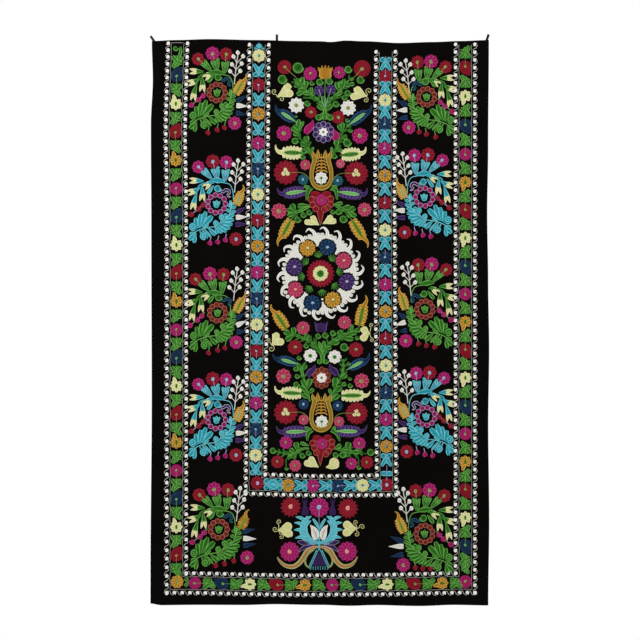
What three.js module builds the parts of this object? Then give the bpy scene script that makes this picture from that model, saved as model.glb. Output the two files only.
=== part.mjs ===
// Suzani wall hanging: one embroidered velvet cloth that hangs flat by narrow tape loops.
// Millimetres, +Z up, +X to the right of the viewer, the embroidered face towards -Y.
// The origin lies on the cloth's top edge, at the middle of its width.
import * as THREE from "three";

// Cloth, cut size and thickness with its embroidery
const CLOTH_WIDTH = 1400;
const CLOTH_LENGTH = 2340;
const CLOTH_THICKNESS = 2.0;

// Hem, turned to the back on all four sides as one more layer
const HEM_WIDTH = 14;
const HEM_LAYER = 0.8;
const HEM_STEP = 4;

// How far below the top edge the cloth still hangs straight from its loops
const HELD_FLAT = 40;

// Grid of the cloth's faces, without the columns and rows that the hems add
const COLUMNS_BETWEEN_HEMS = 26;
const ROWS_BETWEEN_HEMS = 42;

// Tape loops sewn behind the top hem
const TAPE_WIDTH = 10;
const TAPE_THICKNESS = 1.4;
const TAPE_TAIL = 24;
const EYE_DEPTH = 9;
const EYE_HEIGHT = 18;
const EYE_ABOVE_EDGE = 6;
const EYE_STEPS = 28;
const SEWN_GAP = 0.3;

// The uneven outline. Each row gives a place along an edge and how far the edge
// stands out there: up on the top edge, down on the lower one, outwards on the sides.
const TOP_EDGE = [
  { along: -700, out: 1 },
  { along: -600, out: 5 },
  { along: -460, out: 9 },
  { along: -260, out: 5 },
  { along: -85, out: 1 },
  { along: 0, out: 0 },
  { along: 45, out: -3 },
  { along: 105, out: 3 },
  { along: 185, out: 0 },
  { along: 330, out: -7 },
  { along: 470, out: -3 },
  { along: 580, out: 1 },
  { along: 700, out: 5 },
];
const BOTTOM_EDGE = [
  { along: -700, out: -7 },
  { along: -655, out: 0 },
  { along: -320, out: 0 },
  { along: -180, out: -4 },
  { along: 0, out: 0 },
  { along: 120, out: 4 },
  { along: 240, out: 0 },
  { along: 420, out: 4 },
  { along: 560, out: 0 },
  { along: 700, out: 1 },
];
const LEFT_EDGE = [
  { along: 0, out: -2 },
  { along: 160, out: -6 },
  { along: 350, out: 2 },
  { along: 800, out: 0 },
  { along: 1500, out: -2 },
  { along: 2200, out: 3 },
  { along: 2340, out: 3 },
];
const RIGHT_EDGE = [
  { along: 0, out: 1 },
  { along: 450, out: -2 },
  { along: 720, out: -6 },
  { along: 1000, out: -2 },
  { along: 1280, out: 2 },
  { along: 1590, out: -2 },
  { along: 1980, out: 2 },
  { along: 2340, out: -2 },
];

// Soft vertical waves that grow towards the lower hem. forward is towards the viewer,
// spread is the half width, and drift is how far the wave moves sideways by the hem.
const WAVES = [
  { across: -700, spread: 110, forward: 9, drift: 20 },
  { across: -470, spread: 130, forward: -6, drift: -30 },
  { across: -179, spread: 120, forward: 7, drift: 40 },
  { across: 70, spread: 150, forward: -7, drift: 10 },
  { across: 330, spread: 130, forward: 6, drift: -30 },
  { across: 540, spread: 100, forward: -5, drift: 25 },
  { across: 700, spread: 90, forward: 8, drift: -15 },
];

const LOOPS = [
  { name: "hanging_loop_left", across: -689, leanDegrees: -35 },
  { name: "hanging_loop_middle", across: -179, leanDegrees: 0 },
  { name: "hanging_loop_right", across: 692, leanDegrees: 19 },
];

const velvet = new THREE.MeshStandardMaterial({ color: "#0b0908", roughness: 0.95, metalness: 0 });
const cottonTape = new THREE.MeshStandardMaterial({ color: "#14120f", roughness: 0.85, metalness: 0 });

const { smoothstep } = THREE.MathUtils;

// How far an edge stands out at a place along it, eased between the table's rows.
function edgeAt(edge, along) {
  const next = edge.findIndex((row) => row.along >= along);
  if (next <= 0) return edge[next === 0 ? 0 : edge.length - 1].out;
  const [a, b] = [edge[next - 1], edge[next]];
  return THREE.MathUtils.lerp(a.out, b.out, smoothstep(along, a.along, b.along));
}

// How far the cloth's middle layer hangs behind the plane of its top edge.
function hangBack(across, down) {
  const growth = smoothstep(down, HELD_FLAT, CLOTH_LENGTH);
  let back = 0;
  for (const wave of WAVES) {
    const centre = wave.across + (wave.drift * down) / CLOTH_LENGTH;
    back -= wave.forward * growth * Math.exp(-(((across - centre) / wave.spread) ** 2));
  }
  return back;
}

// Grid lines over a length: one at each edge, two where each hem ends, the rest even.
function gridLines(start, end, between) {
  const inner = HEM_WIDTH + HEM_STEP;
  const lines = [start, start + HEM_WIDTH];
  for (let i = 0; i <= between; i++) {
    lines.push(THREE.MathUtils.lerp(start + inner, end - inner, i / between));
  }
  lines.push(end - HEM_WIDTH, end);
  return lines;
}

function velvetCloth() {
  const columns = gridLines(-CLOTH_WIDTH / 2, CLOTH_WIDTH / 2, COLUMNS_BETWEEN_HEMS);
  const rows = gridLines(0, CLOTH_LENGTH, ROWS_BETWEEN_HEMS);
  const geometry = new THREE.BoxGeometry(1, 1, 1, columns.length - 1, 1, rows.length - 1);
  const points = geometry.attributes.position;
  for (let i = 0; i < points.count; i++) {
    const across = columns[Math.round((points.getX(i) + 0.5) * (columns.length - 1))];
    const down = rows[Math.round((0.5 - points.getZ(i)) * (rows.length - 1))];
    const behind = points.getY(i) > 0;
    const side = across / (CLOTH_WIDTH / 2);
    const fallen = down / CLOTH_LENGTH;
    const sideEdge = edgeAt(side < 0 ? LEFT_EDGE : RIGHT_EDGE, down);
    const rise = edgeAt(TOP_EDGE, across) * (1 - fallen) - edgeAt(BOTTOM_EDGE, across) * fallen;
    const toEdge = Math.min(CLOTH_WIDTH / 2 - Math.abs(across), down, CLOTH_LENGTH - down);
    const hem = toEdge <= HEM_WIDTH ? HEM_LAYER : 0;
    const layer = behind ? CLOTH_THICKNESS / 2 + hem : -CLOTH_THICKNESS / 2;
    points.setXYZ(i, across + side * sideEdge, hangBack(across, down) + layer, rise - down);
  }
  geometry.computeVertexNormals();
  const cloth = new THREE.Mesh(geometry, velvet);
  cloth.name = "velvet_cloth";
  return cloth;
}

// One tape folded double. Its two layers lie together behind the hem and part above
// the edge into an oval eye. The section is drawn in depth and height, then extruded
// by the tape's width.
function hangingLoop({ name, across, leanDegrees }) {
  const doubled = 2 * TAPE_THICKNESS;
  const eyeCentre = EYE_ABOVE_EDGE + EYE_HEIGHT / 2;
  const outerDepth = EYE_DEPTH / 2 + TAPE_THICKNESS;
  const outerHeight = EYE_HEIGHT / 2 + TAPE_THICKNESS;
  const neck = Math.asin(TAPE_THICKNESS / outerDepth);
  const start = -Math.PI / 2 + neck;
  const section = new THREE.Shape();
  section.moveTo(TAPE_THICKNESS - doubled / 2, -TAPE_TAIL);
  section.lineTo(TAPE_THICKNESS + doubled / 2, -TAPE_TAIL);
  for (let i = 0; i <= EYE_STEPS; i++) {
    const turn = start + (i / EYE_STEPS) * (2 * Math.PI - 2 * neck);
    const depth = TAPE_THICKNESS + outerDepth * Math.cos(turn);
    section.lineTo(depth, eyeCentre + outerHeight * Math.sin(turn));
  }
  section.closePath();
  const eye = new THREE.Path();
  eye.absellipse(TAPE_THICKNESS, eyeCentre, EYE_DEPTH / 2, EYE_HEIGHT / 2, 0, 2 * Math.PI, true);
  section.holes.push(eye);
  const geometry = new THREE.ExtrudeGeometry(section, {
    depth: TAPE_WIDTH,
    bevelEnabled: false,
    curveSegments: EYE_STEPS,
  });
  // The section's depth becomes Y and its height Z, with the tape's width centred on X.
  geometry.translate(0, 0, -TAPE_WIDTH / 2);
  geometry.rotateX(Math.PI / 2);
  geometry.rotateZ(Math.PI / 2);
  const loop = new THREE.Mesh(geometry, cottonTape);
  loop.name = name;
  loop.rotation.y = THREE.MathUtils.degToRad(leanDegrees);
  const behindHem = CLOTH_THICKNESS / 2 + HEM_LAYER + SEWN_GAP;
  loop.position.set(across, behindHem, edgeAt(TOP_EDGE, across));
  return loop;
}

const wallHanging = new THREE.Group();
wallHanging.name = "suzani_wall_hanging";
wallHanging.add(velvetCloth());
for (const loop of LOOPS) wallHanging.add(hangingLoop(loop));

export default wallHanging;
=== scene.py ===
"""Suzani wall hanging: black velvet, chain-stitched flowers, leaves and paisleys, tape loops.

The frame is in metres with +Z up. The embroidery is laid out flat, in millimetres across
from the cloth's middle line and down from its top edge, and then laid on the hanging cloth.
"""

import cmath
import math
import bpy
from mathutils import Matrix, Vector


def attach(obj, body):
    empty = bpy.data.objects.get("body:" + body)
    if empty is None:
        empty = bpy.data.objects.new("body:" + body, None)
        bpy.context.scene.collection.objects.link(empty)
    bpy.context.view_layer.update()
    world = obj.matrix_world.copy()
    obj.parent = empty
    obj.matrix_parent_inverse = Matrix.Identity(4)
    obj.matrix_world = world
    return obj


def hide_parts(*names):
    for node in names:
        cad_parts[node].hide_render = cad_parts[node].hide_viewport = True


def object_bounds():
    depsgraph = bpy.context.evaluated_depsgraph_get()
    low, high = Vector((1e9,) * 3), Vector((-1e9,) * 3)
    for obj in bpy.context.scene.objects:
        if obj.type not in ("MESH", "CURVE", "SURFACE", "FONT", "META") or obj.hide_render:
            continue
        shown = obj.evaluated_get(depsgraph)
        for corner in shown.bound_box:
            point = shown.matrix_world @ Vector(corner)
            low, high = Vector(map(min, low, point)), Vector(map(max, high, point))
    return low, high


bl_info = {
    "name": "Suzani wall hanging",
    "version": (1, 0, 0),
    "blender": (4, 5, 0),
    "location": "View3D > Sidebar > Suzani",
    "description": "Black velvet hanging with chain-stitched flowers, leaves and paisleys",
    "category": "Object",
}

import bmesh
import bpy
import numpy as np

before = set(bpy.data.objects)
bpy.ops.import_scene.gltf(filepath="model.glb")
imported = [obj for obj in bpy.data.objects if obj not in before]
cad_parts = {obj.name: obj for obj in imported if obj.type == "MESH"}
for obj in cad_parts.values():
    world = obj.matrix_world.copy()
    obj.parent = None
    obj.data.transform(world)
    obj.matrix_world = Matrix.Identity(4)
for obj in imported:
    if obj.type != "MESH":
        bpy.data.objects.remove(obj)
CAD_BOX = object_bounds()

MM = 0.001

# Cloth, as the CAD solid has it, in millimetres
CLOTH_WIDTH = 1400.0
CLOTH_LENGTH = 2340.0
CLOTH_THICKNESS = 2.0
HEM_WIDTH = 14.0
HEM_LAYER = 0.8
HELD_FLAT = 40.0

# Tape loops, in millimetres
TAPE_WIDTH = 10.0
TAPE_THICKNESS = 1.4
TAPE_TAIL = 24.0
EYE_DEPTH = 9.0
EYE_HEIGHT = 18.0
EYE_ABOVE_EDGE = 6.0
SEWN_GAP = 0.3
LOOPS = (
    ("hanging_loop_left", -689.0, -35.0),
    ("hanging_loop_middle", -179.0, 0.0),
    ("hanging_loop_right", 692.0, 19.0),
)

# The uneven outline: a place along each edge, and how far the edge stands out there
TOP_EDGE = (
    (-700, 1), (-600, 5), (-460, 9), (-260, 5), (-85, 1), (0, 0), (45, -3), (105, 3),
    (185, 0), (330, -7), (470, -3), (580, 1), (700, 5),
)
BOTTOM_EDGE = (
    (-700, -7), (-655, 0), (-320, 0), (-180, -4), (0, 0), (120, 4), (240, 0), (420, 4),
    (560, 0), (700, 1),
)
LEFT_EDGE = ((0, -2), (160, -6), (350, 2), (800, 0), (1500, -2), (2200, 3), (2340, 3))
RIGHT_EDGE = (
    (0, 1), (450, -2), (720, -6), (1000, -2), (1280, 2), (1590, -2), (1980, 2), (2340, -2),
)
# Soft waves: place across, half width, how far forward at the lower hem, sideways drift
WAVES = (
    (-700, 110, 9, 20), (-470, 130, -6, -30), (-179, 120, 7, 40), (70, 150, -7, 10),
    (330, 130, 6, -30), (540, 100, -5, 25), (700, 90, 8, -15),
)

# Chain stitch: distance between rows, points along a row, how much rows overlap
ROW_PITCH = 3.6
POINT_STEP = 6.0
COIL_STEP = 4.2
ROW_COVER = 1.08
ROW_ROUNDNESS = 0.55
# The thinnest row, as half its width, and the share of a coil's round that its start leaves open
THINNEST = 0.5
COIL_START = 0.02
# Chain links are about 4 mm long, and drawn longer so that close views show them. Their two arms
# slant back from the row's middle by this many links.
LINK_LENGTH = 7.0
LINK_SLANT = 1.0
# Millimetres that one layer of stitches lies above the one below it
OVER = 0.7
TOPMOST = 1.3
# How much neighbouring leaflets are lifted by turns, and how many make a round of turns
STAGGER = 0.15
STAGGER_TURNS = 4
# Open curls of foliage: half width of their row, distance between turns, added room
CURL_HALF = 2.0
CURL_PITCH = 5.6
CURL_ROOM = 1.12
# How much broader the panel's lobes are than their tables say
LOBE_BROAD = 1.1
# Leaflets along a stem: pitch, length at least and per half width, half width and lean
FEATHER_PITCH = 24.0
FEATHER_REACH = 17.0
FEATHER_GROWTH = 1.6
FEATHER_HALF = 4.0
FEATHER_LEAN = math.radians(36)
# Painted highlight: how much paler the outer rows of a leaf or petal are painted, leaving the middle
# darker as painted shade, and the rows inside as a share of that
RIM_PAINTED_HIGHLIGHT = 0.9
INNER_PAINTED_HIGHLIGHT = 0.3

# Thread colours: the thread itself and its paler shade, as sRGB. The paler shade gives both the dye's
# uneven patches and the painted highlights on outer rows and turns
THREADS = {
    "leaf_green": ("#216312", "#6AAB4C"),
    "pale_green": ("#5FA552", "#93C783"),
    "turquoise": ("#2190A0", "#70C8D3"),
    "navy": ("#0A2340", "#1F4F78"),
    "crimson": ("#7C061A", "#9C2036"),
    "magenta": ("#940B55", "#BC3683"),
    "rose": ("#A4284A", "#C95F7E"),
    "cream": ("#CBCB88", "#ECE9BC"),
    "white": ("#D3D1C7", "#F8F7F2"),
    "silver": ("#B4B5AA", "#D2D3C8"),
    "lime": ("#4E7012", "#86A03A"),
    "gold": ("#A47212", "#DCB055"),
    "ochre": ("#8C6A18", "#BEA24C"),
    "purple": ("#301A4C", "#66498E"),
    "rust": ("#6E1F16", "#A04A34"),
    "peach": ("#B06A52", "#DD9C88"),
    "teal": ("#0D3F4E", "#2A7282"),
    "salmon": ("#E4877C", "#FFC3B6"),
    "lilac": ("#A79CC4", "#CFC7E0"),
    "olive": ("#7F8B47", "#AEB97B"),
    "sky": ("#7FAAC9", "#B4D2E4"),
}


# The hanging cloth

def eased(edge, along):
    """How far an edge stands out at places along it, eased between the table's rows."""
    places, outs = np.array(edge, float).T
    along = np.clip(along, places[0], places[-1])
    after = np.clip(np.searchsorted(places, along), 1, len(places) - 1)
    share = (along - places[after - 1]) / (places[after] - places[after - 1])
    share = share * share * (3 - 2 * share)
    return outs[after - 1] + (outs[after] - outs[after - 1]) * share


def hang_back(across, down):
    """How far the cloth's middle layer hangs behind the plane of its top edge."""
    share = np.clip((down - HELD_FLAT) / (CLOTH_LENGTH - HELD_FLAT), 0, 1)
    growth = share * share * (3 - 2 * share)
    back = np.zeros(np.broadcast(across, down).shape)
    for place, spread, forward, drift in WAVES:
        centre = place + drift * down / CLOTH_LENGTH
        back = back - forward * growth * np.exp(-(((across - centre) / spread) ** 2))
    return back


def edge_shift(across, down):
    """How far the uneven edges move a place on the flat cloth: outwards, and upwards."""
    fallen = down / CLOTH_LENGTH
    side = across / (CLOTH_WIDTH / 2)
    out = np.where(side < 0, eased(LEFT_EDGE, down), eased(RIGHT_EDGE, down))
    rise = eased(TOP_EDGE, across) * (1 - fallen) - eased(BOTTOM_EDGE, across) * fallen
    return side * out, rise


def cloth_points(across, down, layer):
    """Points of the hanging cloth in metres, a number of millimetres behind its middle."""
    out, rise = edge_shift(across, down)
    return np.stack((across + out, hang_back(across, down) + layer, rise - down), -1) * MM


def on_front(places, lift):
    """Points in metres above the cloth's front, for places on the hanging cloth."""
    across, down = places.real, places.imag
    out, rise = edge_shift(across, down)
    depth = hang_back(across - out, down + rise) - CLOTH_THICKNESS / 2 - lift
    return np.stack((across, depth, -down), -1) * MM


# Colours, nodes and materials

def linear(hex_colour):
    """An sRGB hex value as a linear colour with alpha."""
    channels = [int(hex_colour[k:k + 2], 16) / 255 for k in (1, 3, 5)]
    return tuple(
        c / 12.92 if c <= 0.04045 else ((c + 0.055) / 1.055) ** 2.4 for c in channels
    ) + (1.0,)


def add_node(tree, kind, links=(), settings=(), **inputs):
    """Adds a node with its settings, its input values and its links from other sockets."""
    node = tree.nodes.new(kind)
    for name, value in dict(settings).items():
        setattr(node, name, value)
    for name, value in inputs.items():
        node.inputs[name.replace("_", " ")].default_value = value
    for name, socket in dict(links).items():
        tree.links.new(socket, node.inputs[name])
    return node


def new_material(name, **look):
    """A node material with its output, and a shader that has this look."""
    material = bpy.data.materials.new(name)
    material.use_nodes = True
    tree = material.node_tree
    tree.nodes.clear()
    shader = add_node(tree, "ShaderNodeBsdfPrincipled", **look)
    add_node(tree, "ShaderNodeOutputMaterial", {"Surface": shader.outputs["BSDF"]})
    return material, tree, shader


# What a wave texture's scale has to be for one wave in each unit of length
ONE_WAVE = math.tau / 20

# Sizes of what the materials draw, in millimetres. The pile's tufts are under 1 mm, so they are
# drawn at 5 mm to show at all.
STROKED_PATCH = 140.0
PILE_TUFT = 5.0
TAPE_RIB = 1.4
DYE_PATCH = 22.0
SEWING_STRAND = 1.0
BOARD_GRAIN = 60.0
# How much the dye varies along a thread, as a share of the way to its paler shade
DYE_VARIES = 0.5


def per_metre(size_mm):
    """The scale of a texture whose features are this many millimetres across."""
    return 1.0 / (size_mm * MM)


def in_piece(tree):
    """The place on the piece, in metres."""
    return add_node(tree, "ShaderNodeTexCoord").outputs["Object"]


def noise(tree, size_mm, detail=2.0, roughness=0.5):
    """Cloudy noise with features of this size."""
    cloud = add_node(
        tree, "ShaderNodeTexNoise", {"Vector": in_piece(tree)},
        Scale=per_metre(size_mm), Detail=detail, Roughness=roughness,
    )
    return cloud.outputs["Fac"]


def waves(tree, place, direction, scale, distortion=0.0, detail=0.0):
    """Bands that rise and fall along one direction."""
    bands = add_node(
        tree, "ShaderNodeTexWave", {"Vector": place}, {"bands_direction": direction},
        Scale=scale, Distortion=distortion, Detail=detail,
    )
    return bands.outputs["Fac"]


def maths(tree, operation, *terms, clamped=False):
    """What a maths node makes of sockets and numbers."""
    node = add_node(
        tree, "ShaderNodeMath", settings={"operation": operation, "use_clamp": clamped},
    )
    for slot, term in zip(node.inputs, terms):
        if isinstance(term, float):
            slot.default_value = term
        else:
            tree.links.new(term, slot)
    return node.outputs[0]


def two_tone(tree, shader, share, colour, pale):
    """Colours a shader between a colour and its paler shade."""
    mix = add_node(tree, "ShaderNodeMix", {"Factor": share}, {"data_type": "RGBA"})
    mix.inputs["A"].default_value = colour
    mix.inputs["B"].default_value = pale
    tree.links.new(mix.outputs["Result"], shader.inputs["Base Color"])


def relief(tree, shader, height, strength, depth_mm):
    """Gives a shader bumps of this depth."""
    bump = add_node(
        tree, "ShaderNodeBump", {"Height": height}, Strength=strength, Distance=depth_mm * MM,
    )
    tree.links.new(bump.outputs["Normal"], shader.inputs["Normal"])


def velvet_material(colour, pale):
    """Cotton velvet, woven with a cut pile: it swallows light and goes grey where the pile
    is seen edge on, in soft patches where it has been stroked or crushed."""
    material, tree, shader = new_material(
        "cotton_velvet_cut_pile", Roughness=0.95, Specular_IOR_Level=0.02, Sheen_Weight=0.022,
        Sheen_Roughness=0.35, Sheen_Tint=(0.6, 0.56, 0.5, 1.0),
    )
    patches = noise(tree, STROKED_PATCH, 3.0, 0.55)
    tufts = noise(tree, PILE_TUFT, 2.0, 0.6)
    two_tone(tree, shader, maths(tree, "MULTIPLY", patches, tufts), colour, pale)
    relief(tree, shader, tufts, 0.35, 0.8)
    return material


def tape_material(colour, pale):
    """Cotton tape, woven in a herringbone: matt, with fine slanting ribs."""
    material, tree, shader = new_material(
        "cotton_tape_woven", Roughness=0.85, Specular_IOR_Level=0.25,
    )
    ribs = waves(tree, in_piece(tree), "DIAGONAL", ONE_WAVE * per_metre(TAPE_RIB), 1.5, 1.0)
    two_tone(tree, shader, ribs, colour, pale)
    relief(tree, shader, ribs, 0.5, 0.3)
    return material


def thread_material(thread, colour, pale):
    """Silky embroidery thread, worked in chain stitch: a soft satin shine, a row of slanting links, a
    dye that varies a little from one length of thread to the next, and a painted highlight where a row's
    tone is raised, on outer rows and turns."""
    material, tree, shader = new_material(
        "silk_thread_chain_stitched_" + thread, Roughness=0.5, Specular_IOR_Level=0.12,
    )
    tone = add_node(tree, "ShaderNodeAttribute", settings={"attribute_name": "tone"}).outputs["Fac"]
    stitch = add_node(tree, "ShaderNodeUVMap", settings={"uv_map": "stitch"}).outputs["UV"]
    dye = noise(tree, DYE_PATCH, 2.0, 0.6)
    uneven = maths(tree, "MULTIPLY_ADD", dye, DYE_VARIES, -DYE_VARIES / 2)
    # Tone is painted light: paler outer rows and turns are a painted highlight, and darker middles are
    # painted shade. The dye noise is the thread's own unevenness.
    two_tone(tree, shader, maths(tree, "ADD", tone, uneven, clamped=True), colour, pale)
    relief(tree, shader, waves(tree, stitch, "X", ONE_WAVE), 0.7, 0.6)
    return material


def sewing_material(colour, pale):
    """Twisted cotton sewing thread, dyed dark: a dull sheen with fine uneven strands."""
    material, tree, shader = new_material("cotton_sewing_thread", Roughness=0.7)
    two_tone(tree, shader, noise(tree, SEWING_STRAND), colour, pale)
    return material


def floor_material():
    """Painted plaster board: pale, matt and even."""
    material, tree, shader = new_material("painted_board_matt", Roughness=0.9)
    two_tone(tree, shader, noise(tree, BOARD_GRAIN), linear("#F4F3F1"), linear("#FAF9F8"))
    return material


# Needlework: flat lines as complex numbers, across + down, in millimetres

# Half widths of petals and leaflets from root to end, as shares of the broadest
ROUND_PETAL = np.array((0.3, 0.6, 0.88, 1.0, 0.9, 0.45))
FULL_PETAL = np.array((0.25, 0.5, 0.75, 0.95, 1.0, 0.6))
POINTED_PETAL = np.array((0.35, 0.8, 1.0, 0.8, 0.15))
LEAFLET = np.array((0.22, 0.75, 1.0, 0.95, 0.5))
CLUB = np.array((0.3, 0.45, 0.75, 1.0, 0.95, 0.5))
BROAD_LOBE = np.array((0.6, 0.95, 1.0, 0.9, 0.5))
CROWN_SCALE = np.array((0.9, 1.15, 1.0, 0.5))
# Tones of a wound disc from its middle outwards, paler at the outer turns as a painted highlight, and
# the eye of an open curl
COIL_PAINTED_HIGHLIGHT = np.array((0, 0, 0.3, 1))
CURL_EYE = 0.12
# Points that are worked out between two given ones before a line is spaced evenly
SPAN_POINTS = 8


def through(points, step=POINT_STEP):
    """Evenly spaced points on a smooth line through a few points."""
    points = np.asarray(points, complex)
    ends = np.concatenate((
        [2 * points[0] - points[1]], points, [2 * points[-1] - points[-2]],
    ))
    t = np.linspace(0, 1, SPAN_POINTS, endpoint=False)
    spans = [
        0.5 * (2 * b + (c - a) * t + (2 * a - 5 * b + 4 * c - d) * t**2
               + (3 * b - a - 3 * c + d) * t**3)
        for a, b, c, d in zip(ends, ends[1:], ends[2:], ends[3:])
    ]
    fine = np.concatenate(spans + [points[-1:]])
    run = np.concatenate(([0.0], np.cumsum(np.abs(np.diff(fine)))))
    count = max(3, int(round(run[-1] / step)) + 1)
    return np.interp(np.linspace(0, run[-1], count), run, fine)


def graded(values, count):
    """Values along a line, blended between the few that are given."""
    values = np.atleast_1d(np.asarray(values, float))
    if len(values) == 1:
        return np.full(count, values[0])
    return np.interp(np.linspace(0, 1, count), np.linspace(0, 1, len(values)), values)


def headings(line):
    """The direction along a line at each of its points."""
    along = np.gradient(line)
    return along / np.maximum(np.abs(along), 1e-9)


def sideways(line):
    """The direction across a line at each of its points."""
    return 1j * headings(line)


def around(count, radius, start=-math.pi / 2):
    """Places round a circle, the first one straight up unless another start is given."""
    return [cmath.rect(radius, math.tau * k / count + start) for k in range(count)]


def stagger(k):
    """How far the leaflet with this number is lifted, so that neighbours overlap."""
    return STAGGER * (k % STAGGER_TURNS + 1)


class Needle:
    """Where a motif is sewn: a place on the cloth, a turn, a size, and mirrored or not."""

    def __init__(self, rows, place=0j, spin=1+0j, mirrored=False, widen=1.0):
        self.rows = rows
        self.place = place
        self.spin = spin
        self.mirrored = mirrored
        self.widen = widen
        self.size = abs(spin)

    def on_cloth(self, points):
        points = np.asarray(points, complex)
        points = points + (self.widen - 1) * np.maximum(points.real, 0)
        return self.place + self.spin * (-points.conj() if self.mirrored else points)

    def at(self, place, turn=0.0, size=1.0, mirrored=False, widen=1.0):
        """A needle for a motif of its own: turned clockwise by degrees, larger or smaller."""
        spin = cmath.rect(size, math.radians(turn))
        if self.mirrored:
            spin = spin.conjugate()
        return Needle(
            self.rows, complex(self.on_cloth(place)), self.spin * spin, self.mirrored != mirrored, widen,
        )

    def row(self, thread, line, half, lift=0.0, tone=0.0, closed=False):
        """One row of stitches along evenly spaced points."""
        count = len(line)
        half = graded(half, count) * self.size
        self.rows[thread].append(
            (self.on_cloth(line), np.maximum(half, THINNEST), lift, graded(tone, count), closed)
        )

    def line(self, thread, points, half, lift=0.0, tone=0.0):
        """A stem or thin line: one row through a few points."""
        self.row(thread, through(points, POINT_STEP / self.size), half, lift, tone)

    def fill(self, thread, spine, halves, lift=0.0, tone=0.0, rim=RIM_PAINTED_HIGHLIGHT):
        """Rows side by side along a spine, as wide in all as the half widths say. The outer rows are
        painted paler as a highlight, and the middle rows stay darker as painted shade.
        """
        line = through(spine, POINT_STEP / self.size)
        half = graded(halves, len(line))
        count = max(1, int(round(2 * half.max() * self.size / ROW_PITCH)))
        side = sideways(line)
        for k, share in enumerate((2 * np.arange(count) + 1) / count - 1):
            # Painted highlight: the outer rows get the full paler tone and the rows inside get less
            # towards the middle, which stays darker as painted shade.
            outermost = count > 2 and k in (0, count - 1)
            self.row(
                thread, line + side * half * share, half / count * ROW_COVER, lift,
                tone + (rim if outermost else INNER_PAINTED_HIGHLIGHT * rim * share * share),
            )

    def disc(self, thread, centre, radius, lift=0.0, tone=0.0, rim=RIM_PAINTED_HIGHLIGHT):
        """A round filled by one row that is wound outwards, painted paler at its outer turns as a
        highlight.
        """
        pitch = ROW_PITCH / self.size
        turns = max(1.0, radius / pitch)
        pitch = radius / turns
        count = max(8, int(math.pi * radius * turns * self.size / COIL_STEP))
        wound = np.sqrt(np.linspace(COIL_START, 1, count))
        line = centre + (radius - pitch / 2) * wound * np.exp(2j * math.pi * turns * wound)
        self.row(thread, line, pitch / 2 * ROW_COVER, lift, tone + rim * COIL_PAINTED_HIGHLIGHT)

    def ring(self, thread, centre, radius, half, lift=0.0, tone=0.0):
        """One closed round row."""
        count = max(8, int(math.tau * radius * self.size / COIL_STEP))
        line = centre + radius * np.exp(1j * math.tau * np.arange(count) / count)
        self.row(thread, line, half, lift, tone, closed=True)

    def spiral(self, thread, centre, radius, half, start=0.0, turns=1.6, lift=0.0, tone=0.0):
        """An open curl: a row that winds inwards, with the cloth showing between its turns."""
        count = max(10, int(math.pi * radius * turns * self.size / COIL_STEP))
        share = np.linspace(1, CURL_EYE, count)
        turn = math.radians(start) + (1 - share) * math.tau * turns
        self.row(thread, centre + (radius - half) * share * np.exp(1j * turn), half, lift, tone)


# Small motifs

# A petal's spine as shares of its reach, and half its width as a share of its room, for petals
# that stand apart and petals that run together
PETAL_SPINE = np.array((0.2, 0.6, 1.0))
PETAL_APART = 0.64 / 0.75
PETAL_TOGETHER = 1.02
FULL_PETALS = 12
# Beads of a paisley's ring
BEADS = 11
BEAD_RADIUS = 10.5
# Tulip buds: length in millimetres, and half widths as shares of it
BUD_LENGTH = 33.0
BUD_HALVES = np.array((0.16, 0.2, 0.15, 0.03))
CALYX_HALVES = np.array((0.06, 0.2, 0.34))
FAN_TIP_HALVES = np.array((3.0, 6.0, 3.75))
# Scallops on each side of a leaf, and half widths of a leaf's core and of its hooked tip
SCALLOPS = 6
CORE_HALVES = np.array((0.12, 0.5, 0.9, 1.0, 0.9, 0.35))
HOOK_HALVES = np.array((0.4, 0.3, 0.18, 0.05))


def flower(needle, radius, petals, thread, heart, shape=ROUND_PETAL, heart_share=0.3, lift=0.0):
    """Petals round a small disc, with the cloth just showing between them."""
    half = PETAL_APART * radius * math.sin(math.pi / petals)
    for out in around(petals, radius):
        needle.fill(thread, out * PETAL_SPINE, half * shape, lift=lift, rim=0.7)
    needle.disc(heart, 0, heart_share * radius, lift=lift + OVER)


def full_flower(needle, radius, thread):
    """Petals that run together into a round."""
    half = PETAL_TOGETHER * radius * math.sin(math.pi / FULL_PETALS)
    for out in around(FULL_PETALS, radius):
        needle.fill(thread, out * PETAL_SPINE, half * FULL_PETAL, rim=0.35)
    needle.disc("olive", 0, 0.26 * radius, lift=OVER)


def daisy(needle, radius, petals, thread, heart, heart_share):
    """Many narrow petals round a small disc."""
    flower(needle, radius, petals, thread, heart, POINTED_PETAL, heart_share)


def berry(needle, place, radius, thread, stalk, stalk_thread):
    """A small wound disc on a stalk."""
    needle.line(stalk_thread, (stalk, place), 1.5)
    needle.disc(thread, place, radius, lift=0.3)


def leaflet(needle, thread, root, end, half, bend=0.0, tone=0.0, shape=LEAFLET, lift=0.0):
    """One leaflet from its root to its rounded end."""
    middle = 0.5 * (root + end) + 1j * bend * (end - root)
    needle.fill(thread, (root, middle, end), half * shape, tone=tone, lift=lift)


def fan_leaf(needle, thread, base, corner_a, corner_b):
    """A wedge-shaped leaf that widens from its base to two round corners with a notch between."""
    end = 0.5 * (corner_a + corner_b)
    wide = 0.5 * abs(corner_b - corner_a)
    needle.fill(
        thread, (base, 0.5 * (base + end), end + 0.08 * (base - end)),
        (5.0, 0.75 * wide, 1.05 * wide),
    )
    for corner in (corner_a, corner_b):
        needle.fill(
            thread, (0.6 * end + 0.4 * base, 0.5 * (corner + end), corner + 0.1 * (corner - base)),
            FAN_TIP_HALVES, lift=0.3,
        )


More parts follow.
